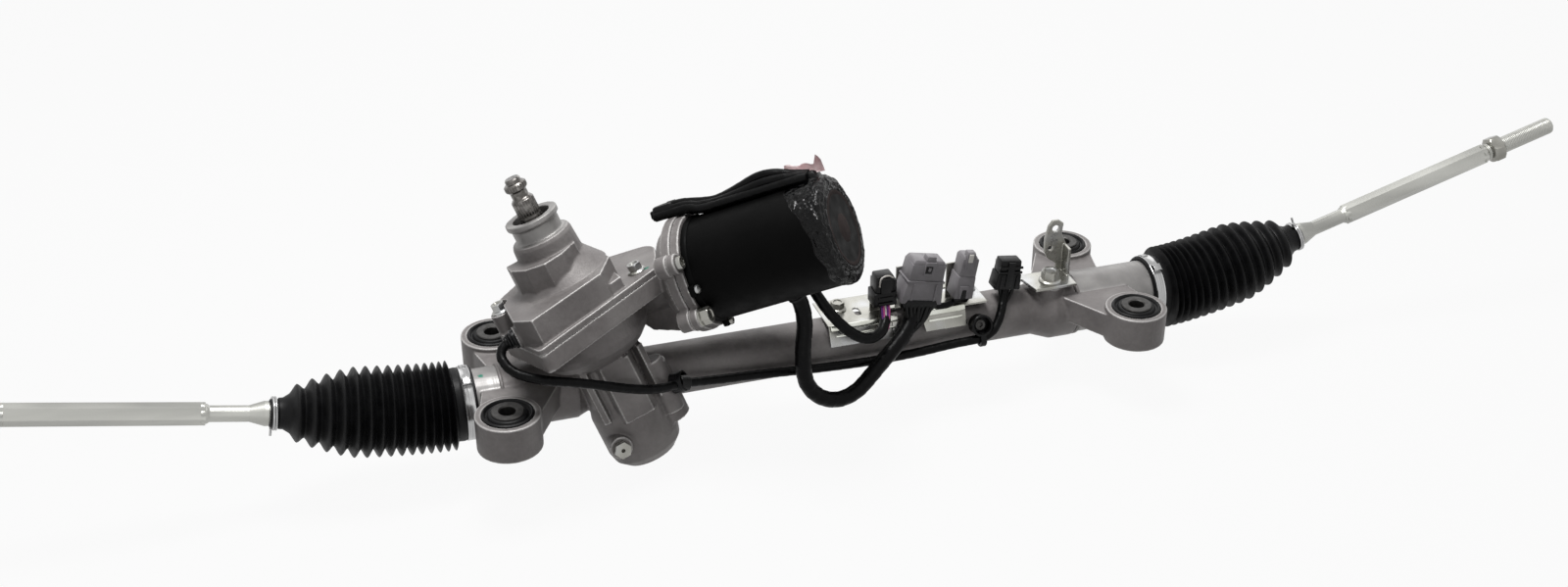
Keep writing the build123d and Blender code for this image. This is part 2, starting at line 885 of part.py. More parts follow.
pinion_pressure = radians(pressure_angle)
pinion_base = pinion_pitch * cos(pinion_pressure)
tooth_thickness = module * (pi / 2 + 2 * profile_shift * tan(pinion_pressure))
half_tooth = (tooth_thickness - tooth_backlash / 2) / (2 * pinion_pitch)
torsion_radius = 3.6
pinion_root_flank = pinion_root - 0.6
with BuildPart() as pinion_shaft:
    turned(
        tower,
        [
            (0, lower_bearing_low - 1),
            (6 - seat_gap, lower_bearing_low - 1),
            (6 - seat_gap, lower_bearing_high + seat_gap),
            (pinion_root, lower_bearing_high + 2),
            (pinion_root, 17),
            (pinion_tip, 19),
            (pinion_tip, bearing_low),
            (8.5 - seat_gap, bearing_low),
            (8.5 - seat_gap, wheel_height - 8),
            (11, wheel_height - 8),
            (11, 86),
            (0, 86),
        ],
    )
    with BuildSketch(tower.offset(-16)) as teeth:
        for i in range(pinion_teeth):
            centre = pi / 2 + 2 * pi * i / pinion_teeth
            flank = []
            for k in range(5):
                radius = pinion_base + (pinion_tip - pinion_base) * k / 4
                flank.append((radius, half_tooth + involute_turn(radius, pinion_base, pinion_pressure)))
            flank.insert(0, (pinion_root_flank, flank[0][1]))
            with BuildLine():
                Polyline(
                    *[(r * cos(centre - a), r * sin(centre - a)) for r, a in flank],
                    *[(r * cos(centre + a), r * sin(centre + a)) for r, a in reversed(flank)],
                    close=True,
                )
            make_face()
    extrude(teeth.sketch, amount=34)
    # Bore for the torsion bar, and the cup with two stops for the input shaft
    ring(tower, 0, torsion_radius, wheel_height - 20, 90, Mode.SUBTRACT)
    ring(tower, 0, 7.6, 70, 87, Mode.SUBTRACT)
    for side in (-1, 1):
        prism(tower, 71, 83, [(side * 5.9, -1.8), (side * 9, -1.8), (side * 9, 1.8), (side * 5.9, 1.8)])
finish(pinion_shaft, "pinion_shaft")

with BuildPart() as torsion_bar:
    turned(
        tower,
        [
            (0, wheel_height - 19.9),
            (torsion_radius - seat_gap, wheel_height - 19.9),
            (torsion_radius - seat_gap, 47),
            (2.6, 51),
            (2.6, shaft_tip - 20),
            (torsion_radius - running, shaft_tip - 17),
            (torsion_radius - running, shaft_tip - 3),
            (0, shaft_tip - 3),
        ],
    )
finish(torsion_bar, "torsion_bar")

# Input shaft: stop spigot, bearing journal, pinch-bolt neck and splines
spline_count = 24
spline_groove = 0.25
with BuildPart() as input_shaft:
    turned(
        tower,
        [
            (0, 70.5),
            (7.5, 70.5),
            (7.5, 86.5),
            (9, 86.5),
            (9, collar_top - 2),
            (spline_radius, collar_top + 1),
            (spline_radius, collar_top + 14),
            (6.6, collar_top + 16),
            (6.6, collar_top + 21),
            (spline_radius, collar_top + 23),
            (spline_radius, collar_top + 27),
            (7.4, collar_top + 28),
            (5.8, collar_top + 28.5),
            (5.8, shaft_tip - 1),
            (5, shaft_tip),
            (0, shaft_tip),
        ],
    )
    with BuildSketch(tower.offset(collar_top + 1.5)) as splines:
        with PolarLocations(spline_radius, spline_count, start_angle=180 / spline_count):
            Circle(spline_groove)
    extrude(splines.sketch, amount=26, mode=Mode.SUBTRACT)
    ring(tower, 0, torsion_radius, 70, shaft_tip - 2.9, Mode.SUBTRACT)
    for side in (-1, 1):
        prism(
            tower,
            70,
            84,
            [(side * 5.7, -2.6), (side * 9, -2.6), (side * 9, 2.6), (side * 5.7, 2.6)],
            Mode.SUBTRACT,
        )
finish(input_shaft, "input_shaft")


def ball_size(inner, outer):
    """Ball radius for a bearing between two radii."""
    return (outer - inner) * 0.28


def bearing_ring(frame, inner, outer, low, high, is_outer):
    """One ring of a ball bearing with its ball groove."""
    pitch = (inner + outer) / 2
    ball = ball_size(inner, outer)
    side = Plane(origin=frame.origin, x_dir=frame.x_dir, z_dir=frame.x_dir.cross(frame.z_dir))
    with BuildSketch(side) as section:
        with BuildLine():
            near = pitch + ball * 0.45 if is_outer else inner
            far = outer if is_outer else pitch - ball * 0.45
            Polyline((near, low), (far, low), (far, high), (near, high), close=True)
        make_face()
        with Locations((pitch, (low + high) / 2)):
            Circle(ball + running, mode=Mode.SUBTRACT)
    revolve(section.sketch, axis=Axis(frame.origin, frame.z_dir))


def ball_places(frame, inner, outer, low, high):
    """Centres of the balls of one bearing."""
    pitch = (inner + outer) / 2
    count = int(pi * pitch / ball_size(inner, outer) * 0.8)
    places = []
    for i in range(count):
        turn = 2 * pi * i / count
        places.append(place(frame, pitch * cos(turn), pitch * sin(turn), (low + high) / 2))
    return places


# Ball bearings: outer rings sit in the housing, inner rings go round with the shafts
pinion_bearings = [
    (tower, 6, lower_bearing_radius - seat_gap, lower_bearing_low, lower_bearing_high - seat_gap),
    (tower, 8.5, ball_bearing_radius - seat_gap, bearing_low + seat_gap, bearing_high),
]
motor_bearing_radius = 11.0
motor_end = flange_face + motor_length
front_bearing = flange_face + 1
rear_bearing = motor_end - 14
motor_bearing_width = 7.0
rotor_bearings = [
    (motor_plane, 5, 11 - seat_gap, worm_far + 2 + seat_gap, worm_far + 9),
    (motor_plane, 6, 14 - seat_gap, 48 + seat_gap, 58),
    (motor_plane, 6, motor_bearing_radius - seat_gap, front_bearing, front_bearing + motor_bearing_width),
    (motor_plane, 6, motor_bearing_radius - seat_gap, rear_bearing, rear_bearing + motor_bearing_width),
]
with BuildPart() as outer_bearing_rings:
    for bearing in pinion_bearings + rotor_bearings:
        bearing_ring(*bearing, True)
    upper_seat = upper_bearing_radius - seat_gap
    ring(tower, 9 + running, upper_seat, upper_bearing_low, upper_bearing_high - seat_gap)
finish(outer_bearing_rings, "outer_bearing_rings")

with BuildPart() as pinion_inner_rings:
    for bearing in pinion_bearings:
        bearing_ring(*bearing, False)
finish(pinion_inner_rings, "pinion_inner_rings")

with BuildPart() as rotor_inner_rings:
    for bearing in rotor_bearings:
        bearing_ring(*bearing, False)
finish(rotor_inner_rings, "rotor_inner_rings")

with BuildPart() as bearing_balls:
    for bearing in pinion_bearings + rotor_bearings:
        with Locations(*ball_places(*bearing)):
            Sphere(ball_size(bearing[1], bearing[2]))
finish(bearing_balls, "bearing_balls")

# Cap under the lower bearing, and the seal round the input shaft
with BuildPart() as pinion_cap:
    ring(tower, 0, cap_radius - seat_gap, bulb_bottom - 1, lower_bearing_low - seat_gap)
    ring(tower, 0, 7.5, lower_bearing_low - 1.5, lower_bearing_low + 1, Mode.SUBTRACT)
    hexagon(tower, 0, 0, 14, bulb_bottom - 2, bulb_bottom + 6, Mode.SUBTRACT)
finish(pinion_cap, "pinion_cap")

with BuildPart() as input_seal:
    turned(
        tower,
        [
            (9 + running, collar_top - 14),
            (12, collar_top - 15.5),
            (15 - seat_gap, collar_top - 15.5),
            (15 - seat_gap, collar_top - 7),
            (12, collar_top - 7),
            (9 + running, collar_top - 9),
        ],
    )
finish(input_seal, "input_seal")

with BuildPart() as torque_sensor_coil:
    ring(tower, 15, 24.8 - seat_gap, flange_top, cover_top + 4 - seat_gap)
    ring(tower, 20, 26, flange_top + 8, flange_top + 17, Mode.SUBTRACT)
finish(torque_sensor_coil, "torque_sensor_coil")

# Rack guide behind the bar: yoke, spring, screw plug and locknut
guide_radius = 15.0
guide_start = pinion_offset + 3
guide_end = pinion_offset + 28
guide_boss_end = pinion_offset + 43
plug_start = guide_end + 0.1
with BuildPart() as guide_yoke:
    ring(guide_plane, 0, guide_radius, guide_start, guide_end)
    ring(guide_plane, 0, 8.5, guide_end - 10, guide_end + 1, Mode.SUBTRACT)
    ring(rack_plane, 0, rack_radius + running, -220, -110, Mode.SUBTRACT)
finish(guide_yoke, "guide_yoke")

spring_turns = 4
spring_wire = 2.0
spring_low = guide_end - 10 + seat_gap + spring_wire
spring_high = plug_start + 4 - seat_gap - spring_wire
with BuildPart() as guide_spring:
    side = Plane(origin=guide_plane.origin, x_dir=across, z_dir=across.cross(behind))
    spring_step = (spring_high - spring_low) / (spring_turns - 1)
    with BuildSketch(side) as wire:
        for i in range(spring_turns):
            with Locations((6.2, spring_low + i * spring_step)):
                Circle(spring_wire)
    revolve(wire.sketch, axis=Axis(guide_plane.origin, behind))
finish(guide_spring, "guide_spring")

with BuildPart() as guide_plug:
    ring(guide_plane, 0, guide_radius, plug_start, guide_boss_end + 7)
    ring(guide_plane, 0, 8.5, plug_start - 1, plug_start + 4, Mode.SUBTRACT)
    hexagon(guide_plane, 0, 0, 14, guide_boss_end - 1, guide_boss_end + 8, Mode.SUBTRACT)
finish(guide_plug, "guide_plug")

with BuildPart() as guide_locknut:
    hexagon(guide_plane, 0, 0, 38, guide_boss_end + seat_gap, guide_boss_end + 6)
    ring(guide_plane, 0, guide_radius + seat_gap, guide_boss_end - 1, guide_boss_end + 8, Mode.SUBTRACT)
finish(guide_locknut, "guide_locknut")

with BuildPart() as rack_bush:
    bush_end = right_end - end_bore_depth
    ring(rack_plane, rack_radius + running, tube_bore_radius - seat_gap, bush_end - 22, bush_end - 1)
finish(rack_bush, "rack_bush")

with BuildPart() as breather_screw:
    hexagon(stub_plane, 0, 0, 12, 31 + seat_gap, 37)
    ring(stub_plane, 0, 4, 22.5, 31.1)
    ring(stub_plane, 0, 1.6, 30, 38, Mode.SUBTRACT)
finish(breather_screw, "breather_screw")

# Worm wheel: steel hub on the pinion shaft with a moulded toothed rim
wheel_low = wheel_height - wheel_width / 2
wheel_high = wheel_height + wheel_width / 2
hub_radius = 27.0
with BuildPart() as wheel_hub:
    ring(tower, 11 + seat_gap, 16, wheel_low - 3, wheel_high + 3)
    ring(tower, 15, hub_radius, wheel_low + 2, wheel_high - 2)
    with BuildSketch(tower.offset(wheel_low)) as holes:
        with PolarLocations(21, 6):
            Circle(3)
    extrude(holes.sketch, amount=wheel_width, mode=Mode.SUBTRACT)
finish(wheel_hub, "wheel_hub")

lead_angle = atan(worm_lead / (2 * pi * worm_pitch))
wheel_pressure = radians(20)
wheel_base = wheel_pitch * cos(wheel_pressure)
wheel_half_tooth = (axial_pitch / 2 - worm_backlash / 2) / (2 * wheel_pitch)
wheel_twist = degrees(wheel_width * tan(lead_angle) / wheel_pitch)
flank = []
for k in range(4):
    radius = wheel_root + (wheel_tip - wheel_root) * k / 3
    flank.append((radius, wheel_half_tooth + involute_turn(radius, wheel_base, wheel_pressure)))
rim_corners = []
for i in range(wheel_teeth):
    centre = pi / 2 + d_swing + 2 * pi * i / wheel_teeth - radians(wheel_twist) / 2
    rim_corners += [(r * cos(centre - a), r * sin(centre - a)) for r, a in flank]
    rim_corners += [(r * cos(centre + a), r * sin(centre + a)) for r, a in reversed(flank)]
with BuildSketch(tower.offset(wheel_low)) as rim_section:
    with BuildLine():
        Polyline(*rim_corners, close=True)
    make_face()
rim_blank = Solid.extrude_linear_with_rotation(
    rim_section.sketch.face(), tower.origin + up_shaft * wheel_low, up_shaft * wheel_width, wheel_twist
)
with BuildPart() as wheel_rim:
    add(rim_blank)
    ring(tower, 0, hub_radius + seat_gap, wheel_low - 1, wheel_low + 2, Mode.SUBTRACT)
    ring(tower, 0, hub_radius + seat_gap, wheel_low + 1, wheel_high + 1, Mode.SUBTRACT)
finish(wheel_rim, "wheel_rim")

# Worm: a two-start thread on the shaft that the motor turns
thread_half = (axial_pitch / 2 - worm_backlash / 2) / 2
thread_corners = []
for side in (0, pi):
    lobe = []
    for k in range(5):
        radius = worm_root - 0.2 + (worm_tip - worm_root + 0.2) * k / 4
        half = (thread_half - (radius - worm_pitch) * tan(wheel_pressure)) * 2 * pi / worm_lead
        lobe.append((radius, half))
    thread_corners.append((side, lobe))
with BuildSketch(motor_plane.offset(-worm_length / 2)) as worm_section:
    Circle(worm_root)
    for side, lobe in thread_corners:
        with BuildLine():
            start = side - pi * worm_length / worm_lead
            Polyline(
                (0, 0),
                *[(r * cos(start - a), r * sin(start - a)) for r, a in lobe],
                *[(r * cos(start + a), r * sin(start + a)) for r, a in reversed(lobe)],
                close=True,
            )
        make_face()
worm_thread = Solid.extrude_linear_with_rotation(
    worm_section.sketch.face(),
    motor_plane.origin - motor_way * (worm_length / 2),
    motor_way * worm_length,
    degrees(2 * pi * worm_length / worm_lead),
)
with BuildPart() as worm_shaft:
    turned(
        motor_plane,
        [
            (0, worm_far + 2.5),
            (5 - seat_gap, worm_far + 2.5),
            (5 - seat_gap, worm_far + 9),
            (worm_root - 0.4, worm_far + 10),
            (worm_root - 0.4, 47),
            (6 - seat_gap, 48),
            (6 - seat_gap, 58),
            (10, 59),
            (10, 72),
            (0, 72),
        ],
    )
    add(worm_thread)
    ring(motor_plane, 0, 6 + seat_gap, 61, 73, Mode.SUBTRACT)
finish(worm_shaft, "worm_shaft")

# Motor: flange, can, stator, rotor and position sensor
rotor_journal = 6 - seat_gap
register_radius = motor_radius - motor_wall - seat_gap
with BuildPart() as motor_flange:
    face = flange_face + seat_gap
    turned(
        motor_plane,
        [
            (7, face),
            (28, face),
            (28, face - 5),
            (33 - seat_gap, face - 5),
            (33 - seat_gap, face),
            (45, face),
            (45, face + 7),
            (register_radius, face + 7),
            (register_radius, face + 10),
            (36, face + 10),
            (36, face + 7),
            (13.5, face + 7),
            (13.5, face + 9),
            (motor_bearing_radius, face + 9),
            (motor_bearing_radius, front_bearing - seat_gap),
            (7, front_bearing - seat_gap),
        ],
    )
    for x, y in motor_bolt_places + motor_screw_places:
        post(motor_plane, x, y, 8, face, face + 7)
    ring(motor_plane, 0, motor_radius + 0.2, face + 7, face + 12, Mode.SUBTRACT)
    ring(motor_plane, 0, register_radius, face + 6.5, face + 7)
    ring(motor_plane, 36, register_radius, face + 6.5, face + 10)
    ring(motor_plane, 0, motor_bearing_radius, front_bearing - seat_gap, face + 12, Mode.SUBTRACT)
    for x, y in motor_bolt_places:
        post(motor_plane, x, y, 4.3, face - 1, face + 8, Mode.SUBTRACT)
    for x, y in motor_screw_places:
        post(motor_plane, x, y, 3.3, face - 1, face + 8, Mode.SUBTRACT)
finish(motor_flange, "motor_flange")

flange_back = flange_face + 7 + 2 * seat_gap
can_inner = motor_radius - motor_wall
with BuildPart() as motor_can:
    turned(
        motor_plane,
        [
            (can_inner, flange_back),
            (motor_radius, flange_back),
            (motor_radius, motor_end - 5),
            (motor_radius - 3, motor_end - 1.5),
            (end_disc_radius + 2, motor_end - 1.5),
            (end_disc_radius, motor_end),
            (0, motor_end),
            (0, rear_bearing + motor_bearing_width + seat_gap),
            (motor_bearing_radius, rear_bearing + motor_bearing_width + seat_gap),
            (motor_bearing_radius, rear_bearing - 1),
            (13.5, rear_bearing - 1),
            (13.5, rear_bearing + 6),
            (can_inner, rear_bearing + 7),
        ],
    )
finish(motor_can, "motor_can")

bolt_seat = flange_face + 7 + 2 * seat_gap
with BuildPart() as motor_bolts:
    for x, y in motor_bolt_places:
        post(motor_plane, x, y, 7.2, bolt_seat, bolt_seat + 1.4)
        hexagon(motor_plane, x, y, 12, bolt_seat + 1.4, bolt_seat + 8.6)
        post(motor_plane, x, y, 4.0, bolt_seat - 16, bolt_seat)
    for x, y in motor_screw_places:
        post(motor_plane, x, y, 5.4, bolt_seat, bolt_seat + 4)
        hexagon(motor_plane, x, y, 5, bolt_seat + 2, bolt_seat + 5, Mode.SUBTRACT)
        post(motor_plane, x, y, 3.0, bolt_seat - 15, bolt_seat)
finish(motor_bolts, "motor_bolts")

stator_low = flange_face + 28
stator_high = motor_end - 31
slots = 12
with BuildPart() as stator_core:
    with BuildSketch(motor_plane.offset(stator_low)) as lamination:
        Circle(can_inner - seat_gap)
        Circle(24.5, mode=Mode.SUBTRACT)
        with PolarLocations(31, slots):
            Rectangle(9, 7, mode=Mode.SUBTRACT)
    extrude(lamination.sketch, amount=stator_high - stator_low)
finish(stator_core, "stator_core")

with BuildPart() as stator_winding:
    with BuildSketch(motor_plane.offset(stator_low - 1)) as bars:
        with PolarLocations(31, slots):
            Rectangle(9 - 4 * seat_gap, 7 - 4 * seat_gap)
    extrude(bars.sketch, amount=stator_high - stator_low + 2)
    ring(motor_plane, 27, 36, stator_low - 9, stator_low - seat_gap)
    ring(motor_plane, 27, 36, stator_high + seat_gap, stator_high + 9)
finish(stator_winding, "stator_winding")

with BuildPart() as rotor_shaft:
    turned(
        motor_plane,
        [
            (0, 62),
            (rotor_journal, 62),
            (rotor_journal, front_bearing + motor_bearing_width),
            (7, front_bearing + motor_bearing_width + 0.5),
            (7, stator_low + 2),
            (18, stator_low + 2),
            (18, stator_high - 2),
            (7, stator_high - 2),
            (7, rear_bearing - 0.5),
            (rotor_journal, rear_bearing),
            (rotor_journal, rear_bearing + motor_bearing_width - 0.5),
            (0, rear_bearing + motor_bearing_width - 0.5),
        ],
    )
finish(rotor_shaft, "rotor_shaft")

with BuildPart() as rotor_magnets:
    with BuildSketch(motor_plane.offset(stator_low + 3)) as magnets:
        Circle(23.5)
        Circle(18 + seat_gap, mode=Mode.SUBTRACT)
        for turn in (0, 45, 90, 135):
            Rectangle(50, 2, rotation=turn, mode=Mode.SUBTRACT)
    extrude(magnets.sketch, amount=stator_high - stator_low - 6)
finish(rotor_magnets, "rotor_magnets")

with BuildPart() as position_sensor:
    ring(motor_plane, 12, can_inner - seat_gap, flange_back + 3, flange_back + 8)
    ring(motor_plane, 9, 16, flange_back + 5, flange_back + 10)
finish(position_sensor, "position_sensor")

# Cable exits on the motor
power_exit = motor_plane.x_dir * cos(radians(lead_side)) + motor_plane.y_dir * sin(radians(lead_side))
power_gland = Plane(origin=place(motor_plane, 0, 0, lead_station), x_dir=motor_way, z_dir=power_exit)
signal_side = radians(lead_side + 20)
signal_exit = motor_plane.x_dir * cos(signal_side) + motor_plane.y_dir * sin(signal_side)
signal_gland = Plane(origin=place(motor_plane, 0, 0, lead_station + 5), x_dir=motor_way, z_dir=signal_exit)
harness_side = radians(-19)
harness_out = motor_plane.x_dir * cos(harness_side) + motor_plane.y_dir * sin(harness_side)
harness_start = 66.0
harness_end = 188.0
gland_end = motor_radius + 8


def along_can(station, reach):
    """A point beside the can where the harness runs."""
    return place(motor_plane, 0, 0, station) + harness_out * reach


# Connectors: power, signal, narrow and sensor plugs with their locking tabs
tab_face = -3.6
power_plane = Plane(origin=power_connector_base, x_dir=(0.98, 0, -0.199), z_dir=(0.199, 0, 0.98))
signal_plane = Plane(origin=(55, -12, 37), x_dir=(1, 0, 0), z_dir=(0, 0, 1))
narrow_plane = Plane(origin=(120, -13, 27), x_dir=(0.969, 0, -0.248), z_dir=(0.248, 0, 0.969))
sensor_plane = Plane(origin=(164.5, -7, 30.2), x_dir=(0.99, 0, -0.14), z_dir=(0.14, 0, 0.99))


latch_half = 4.0
latch_proud = 1.6


def plug(frame, half_width, half_depth, low, shoulder, high):
    """A mated pair of plugs: a wide lower shell, a narrower closed one above and a latch in front."""
    w, d = half_width, half_depth
    prism(frame, low, shoulder, [(-w, -d), (w, -d), (w, d), (-w, d)])
    u, e = w - 2.5, d - 1
    prism(frame, shoulder - 1, high, [(-u, -e), (u, -e), (u, e), (-u, e)])
    front, rear, half = -e - latch_proud, e - 2, latch_half
    prism(frame, high - 12, high + 4, [(-half, front), (half, front), (half, rear), (-half, rear)])


with BuildPart() as power_connector:
    plug(power_plane, 18, 10.5, 8, 28, 46)
finish(power_connector, "power_connector")

with BuildPart() as signal_connector:
    plug(signal_plane, 10, 8, 0, 12, 27)
finish(signal_connector, "signal_connector")

with BuildPart() as narrow_connector:
    plug(narrow_plane, 10, 8.5, 6, 26, 44)
finish(narrow_connector, "narrow_connector")

with BuildPart() as sensor_connector:
    plug(sensor_plane, 12, 7, 0, 14, 26)
finish(sensor_connector, "sensor_connector")

with BuildPart() as cable_glands:
    # Grommet in the sensor cover
    ring(grommet_plane, sensor_cable_radius + seat_gap, 7.6, 3 + seat_gap, 6)
    ring(grommet_plane, sensor_cable_radius + seat_gap, 6.2, 5.9, 12)
    # Boots under the power and narrow connectors
    prism(power_plane, -1, 8 - seat_gap, [(-15, -8), (15, -8), (15, 8), (-15, 8)])
    prism(narrow_plane, 0.8, 6 - seat_gap, [(-7, -6), (7, -6), (7, 6), (-7, 6)])
    # Exits on the can, cut to its curve
    ring(power_gland, power_cable_radius + seat_gap, 9.5, motor_radius - 3, motor_radius + 3.5)
    ring(power_gland, power_cable_radius + seat_gap, 8.3, motor_radius + 3, gland_end)
    ring(signal_gland, signal_cable_radius + seat_gap, 6.0, motor_radius - 3, gland_end)
    box_plane = Plane(origin=place(motor_plane, 0, 0, 0), x_dir=motor_way, z_dir=harness_out)
    prism(
        box_plane,
        motor_radius - 3,
        motor_radius + 15,
        [(harness_end, -10), (harness_end + 16, -10), (harness_end + 16, 10), (harness_end, 10)],
    )
    ring(motor_plane, 0, motor_radius + seat_gap, flange_back, motor_end + 1, Mode.SUBTRACT)
    # Plug at the other end of the harness
    prism(box_plane, 46.5, 61, [(54, -9), (harness_start, -9), (harness_start, 9), (54, 9)])
finish(cable_glands, "cable_glands")

# Cables
with BuildPart() as power_cable:
    cable(
        [
            place(power_gland, 0, 0, motor_radius + 4),
            place(power_gland, 0, 0, gland_end + 8),
            (-19, -38, 44),
            (-23, -44, 28),
            (-24, -48, 10),
            (-21, -49, -6),
            (-10, -50, -19),
            (6, -49, -25),
            (22, -47, -21),
            (34, -44, -11),
            (46, -41, 0),
            (57, -37, 8),
            (68, -30, 14),
            (76, -22.5, 20),
            (81.5, -16, 31),
        ],
        power_cable_radius,
    )
finish(power_cable, "power_cable")

with BuildPart() as signal_cable:
    cable(
        [
            place(signal_gland, 0, 0, motor_radius + 4),
            place(signal_gland, 0, 0, gland_end + 9),
            (-2, -28, 55),
            (7, -34, 42),
            (19, -38, 29),
            (33, -38, 20),
            (46, -34, 21),
            (53, -26, 26),
            (55.5, -18, 32),
            (56, -13, 40),
        ],
        signal_cable_radius,
    )
finish(signal_cable, "signal_cable")

with BuildPart() as branch_cable:
    cable(
        [
            (91, -14.5, 32.5),
            (95.5, -16.8, 29.8),
            (102, -18.5, 28.2),
            (110, -18.5, 28.2),
            (116, -16, 28.8),
            (120.5, -13.2, 30.5),
        ],
        branch_cable_radius,
    )
finish(branch_cable, "branch_cable")

with BuildPart() as sensor_cable:
    cable(
        [
            place(grommet_plane, 0, 0, 4),
            place(grommet_plane, 0, 0, 19),
            place(tower, -70, -52, 71),
            place(tower, -54, -62, 57),
            (-198, -63, 39),
            (-164, -56, 23),
            (-142, -50, 15),
            (-120, -40, 10.5),
            (-95, -31.5, 3),
            (-52, -27, -2),
            (-5, -26.5, -6),
            (40, -26.5, -8),
            (82, -27, -7),
            (112, -29, -3),
            (136, -31, -1.5),
            (146, -31, 3),
            (153, -26, 10),
            (158.5, -19, 18),
            (162, -12.5, 25),
            (164.5, -9, 33),
        ],
        sensor_cable_radius,
    )
finish(sensor_cable, "sensor_cable")

with BuildPart() as motor_harness:
    cable(
        [
            along_can(harness_start - 3, 53.8),
            along_can(82, 54.6),
            along_can(104, 52.6),
            along_can(126, 49.2),
            along_can(150, 49),
            along_can(harness_end + 3, 49.3),
        ],
        harness_radius,
    )
finish(motor_harness, "motor_harness")

# Clips that hold the sensor cable to the housing
side_clip_way = across * 0.86 - behind * 0.51
side_clip = Plane(origin=place(tower, 30, -16, -13.3), x_dir=up_shaft, z_dir=side_clip_way)
side_clip_centre = Vector(-120, -40, 10.5)
side_clip_run = (Vector(-95, -31.5, 3) - Vector(-142, -50, 15)).normalized()
ring_plane = Plane(origin=side_clip_centre, x_dir=side_clip_run.cross(up_shaft), z_dir=side_clip_run)
cup_low = 23 + seat_gap
cup_floor = 26.0
with BuildPart() as cable_clips:
    ring(ring_plane, 0, 6.4, -4.5, 4.5)
    ring(side_clip, 0, 5.0, 8.2, 12)
    ring(ring_plane, 0, sensor_cable_radius + soft_gap, -12, 12, Mode.SUBTRACT)
    post(tower, 30, -16, 9.0 + soft_gap, -40, 16, Mode.SUBTRACT)
    cup_ring = Plane(origin=(clip_x, -31, -1.6), x_dir=(0, 0, 1), z_dir=(1, 0, 0))
    ring(clip_plane, 0, 7, cup_low, 34)
    ring(cup_ring, 0, 6.4, -2.5, 2.5)
    ring(cup_ring, 0, sensor_cable_radius + soft_gap, -8, 8, Mode.SUBTRACT)
    ring(clip_plane, 0, 5.4, cup_floor, 35, Mode.SUBTRACT)
    ring(clip_plane, 0, 3.2, cup_low - 1, cup_floor + 1, Mode.SUBTRACT)
finish(cable_clips, "cable_clips")

# Pressed bracket that carries the three plugs beside the motor
sheet = 1.6
bracket_low = bracket_boss_top + seat_gap
bracket_top = bracket_low + sheet
with BuildPart() as connector_bracket:
    prism(
        rack_plane,
        8,
        146,
        [
            (24, bracket_low),
            (24, bracket_top),
            (-16.5, bracket_top),
            (-24, 9),
            (-22.4, 9),
            (-15.6, bracket_low),
        ],
    )
    # Lip cut back beside the cable clip, notch where the power cable rises, and slots
    prism(Plane.XY, 0, bracket_low, [(126, -30), (150, -30), (150, -15.6), (126, -15.6)], Mode.SUBTRACT)
    prism(
        Plane.XY,
        0,
        40,
        [(62, -30), (106, -30), (106, tab_face), (62, tab_face)],
        Mode.SUBTRACT,
    )
    with BuildSketch(Plane.XY.offset(bracket_low - 1)) as slots_sketch:
        with Locations((16, -6), (38, 0)):
            SlotOverall(12, 5, rotation=90)
        with Locations((118, 12)):
            SlotOverall(16, 6)
    extrude(slots_sketch.sketch, amount=4, mode=Mode.SUBTRACT)
    for low, high, top in ((48, 64, 58), (70, 101, 62), (114, 134, 58)):
        prism(
            Plane.XY,
            bracket_low,
            top,
            [(low, tab_face), (high, tab_face), (high, tab_face + sheet), (low, tab_face + sheet)],
        )
    for x, y in bracket_bosses:
        post(Plane.XY, x, y, 3.3, bracket_low - 1, bracket_top + 1, Mode.SUBTRACT)
finish(connector_bracket, "connector_bracket")

# Plate bracket bolted to the boss near the right end
plate = 2.5
hook_low = hook_boss_top + seat_gap
hook_top = hook_low + plate
hook_side = 225.0
hook_holes = [(214.5, 69.5, 3.0), (211.0, 51.5, 2.2)]
with BuildPart() as hook_bracket:
    prism(
        Plane.XY,
        hook_low,
        hook_top,
        [(188, -20), (hook_side, -20), (hook_side, 8), (160, 8), (160, 0.6), (184, 0.6)],
    )
    prism(Plane.XY, hook_low, 52, [(160, 0.6), (177, 0.6), (177, 0.6 + plate), (160, 0.6 + plate)])
    # Upright strap, bent to one side above its stem, with a stiffening flange beside the stem
    upright = Plane(origin=(0, 8, 0), x_dir=(1, 0, 0), z_dir=(0, -1, 0))
    prism(
        upright,
        0,
        plate,
        [
            (217, hook_low),
            (hook_side, hook_low),
            (hook_side, 54),
            (220.5, 64),
            (221.5, 73.5),
            (217, 77),
            (211.5, 77),
            (208, 72.5),
            (205.5, 62),
            (205.5, 49),
            (208.5, 43),
            (217, 36.5),
        ],
    )
    prism(
        Plane.XY,
        hook_low,
        54,
        [(hook_side - plate, -5), (hook_side, -5), (hook_side, 8), (hook_side - plate, 8)],
    )
    post(upright, *hook_holes[0], -1, 4, Mode.SUBTRACT)
    post(upright, *hook_holes[1], -1, 4, Mode.SUBTRACT)
    post(Plane.XY, *hook_boss, 4.3, hook_low - 1, hook_top + 1, Mode.SUBTRACT)
finish(hook_bracket, "hook_bracket")

with BuildPart() as bracket_bolts:
    for x, y in bracket_bosses:
        flange_bolt(Plane.XY, x, y, bracket_top + seat_gap, 10, 3.0, 7.5)
    flange_bolt(Plane.XY, *hook_boss, hook_top + seat_gap, 13, 4.0, 12)
    ring(clip_plane, 0, 4.6, cup_floor + seat_gap, cup_floor + 3)
    ring(clip_plane, 0, 3.0, 18, cup_floor + 1)
    hexagon(clip_plane, 0, 0, 4, cup_floor + 1, cup_floor + 4, Mode.SUBTRACT)
finish(bracket_bolts, "bracket_bolts")
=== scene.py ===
"""Looks of an electric steering rack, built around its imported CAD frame. Lengths are millimetres in the row
frame, X along the rack, Y away from the viewer, Z up; those of the stage's lights and floor are metres."""

import json
from math import ceil, cos, degrees, pi, radians, sin, sqrt

import bmesh
import bpy
from bpy.props import FloatProperty, FloatVectorProperty, IntProperty, PointerProperty
from mathutils import Matrix, Vector, noise


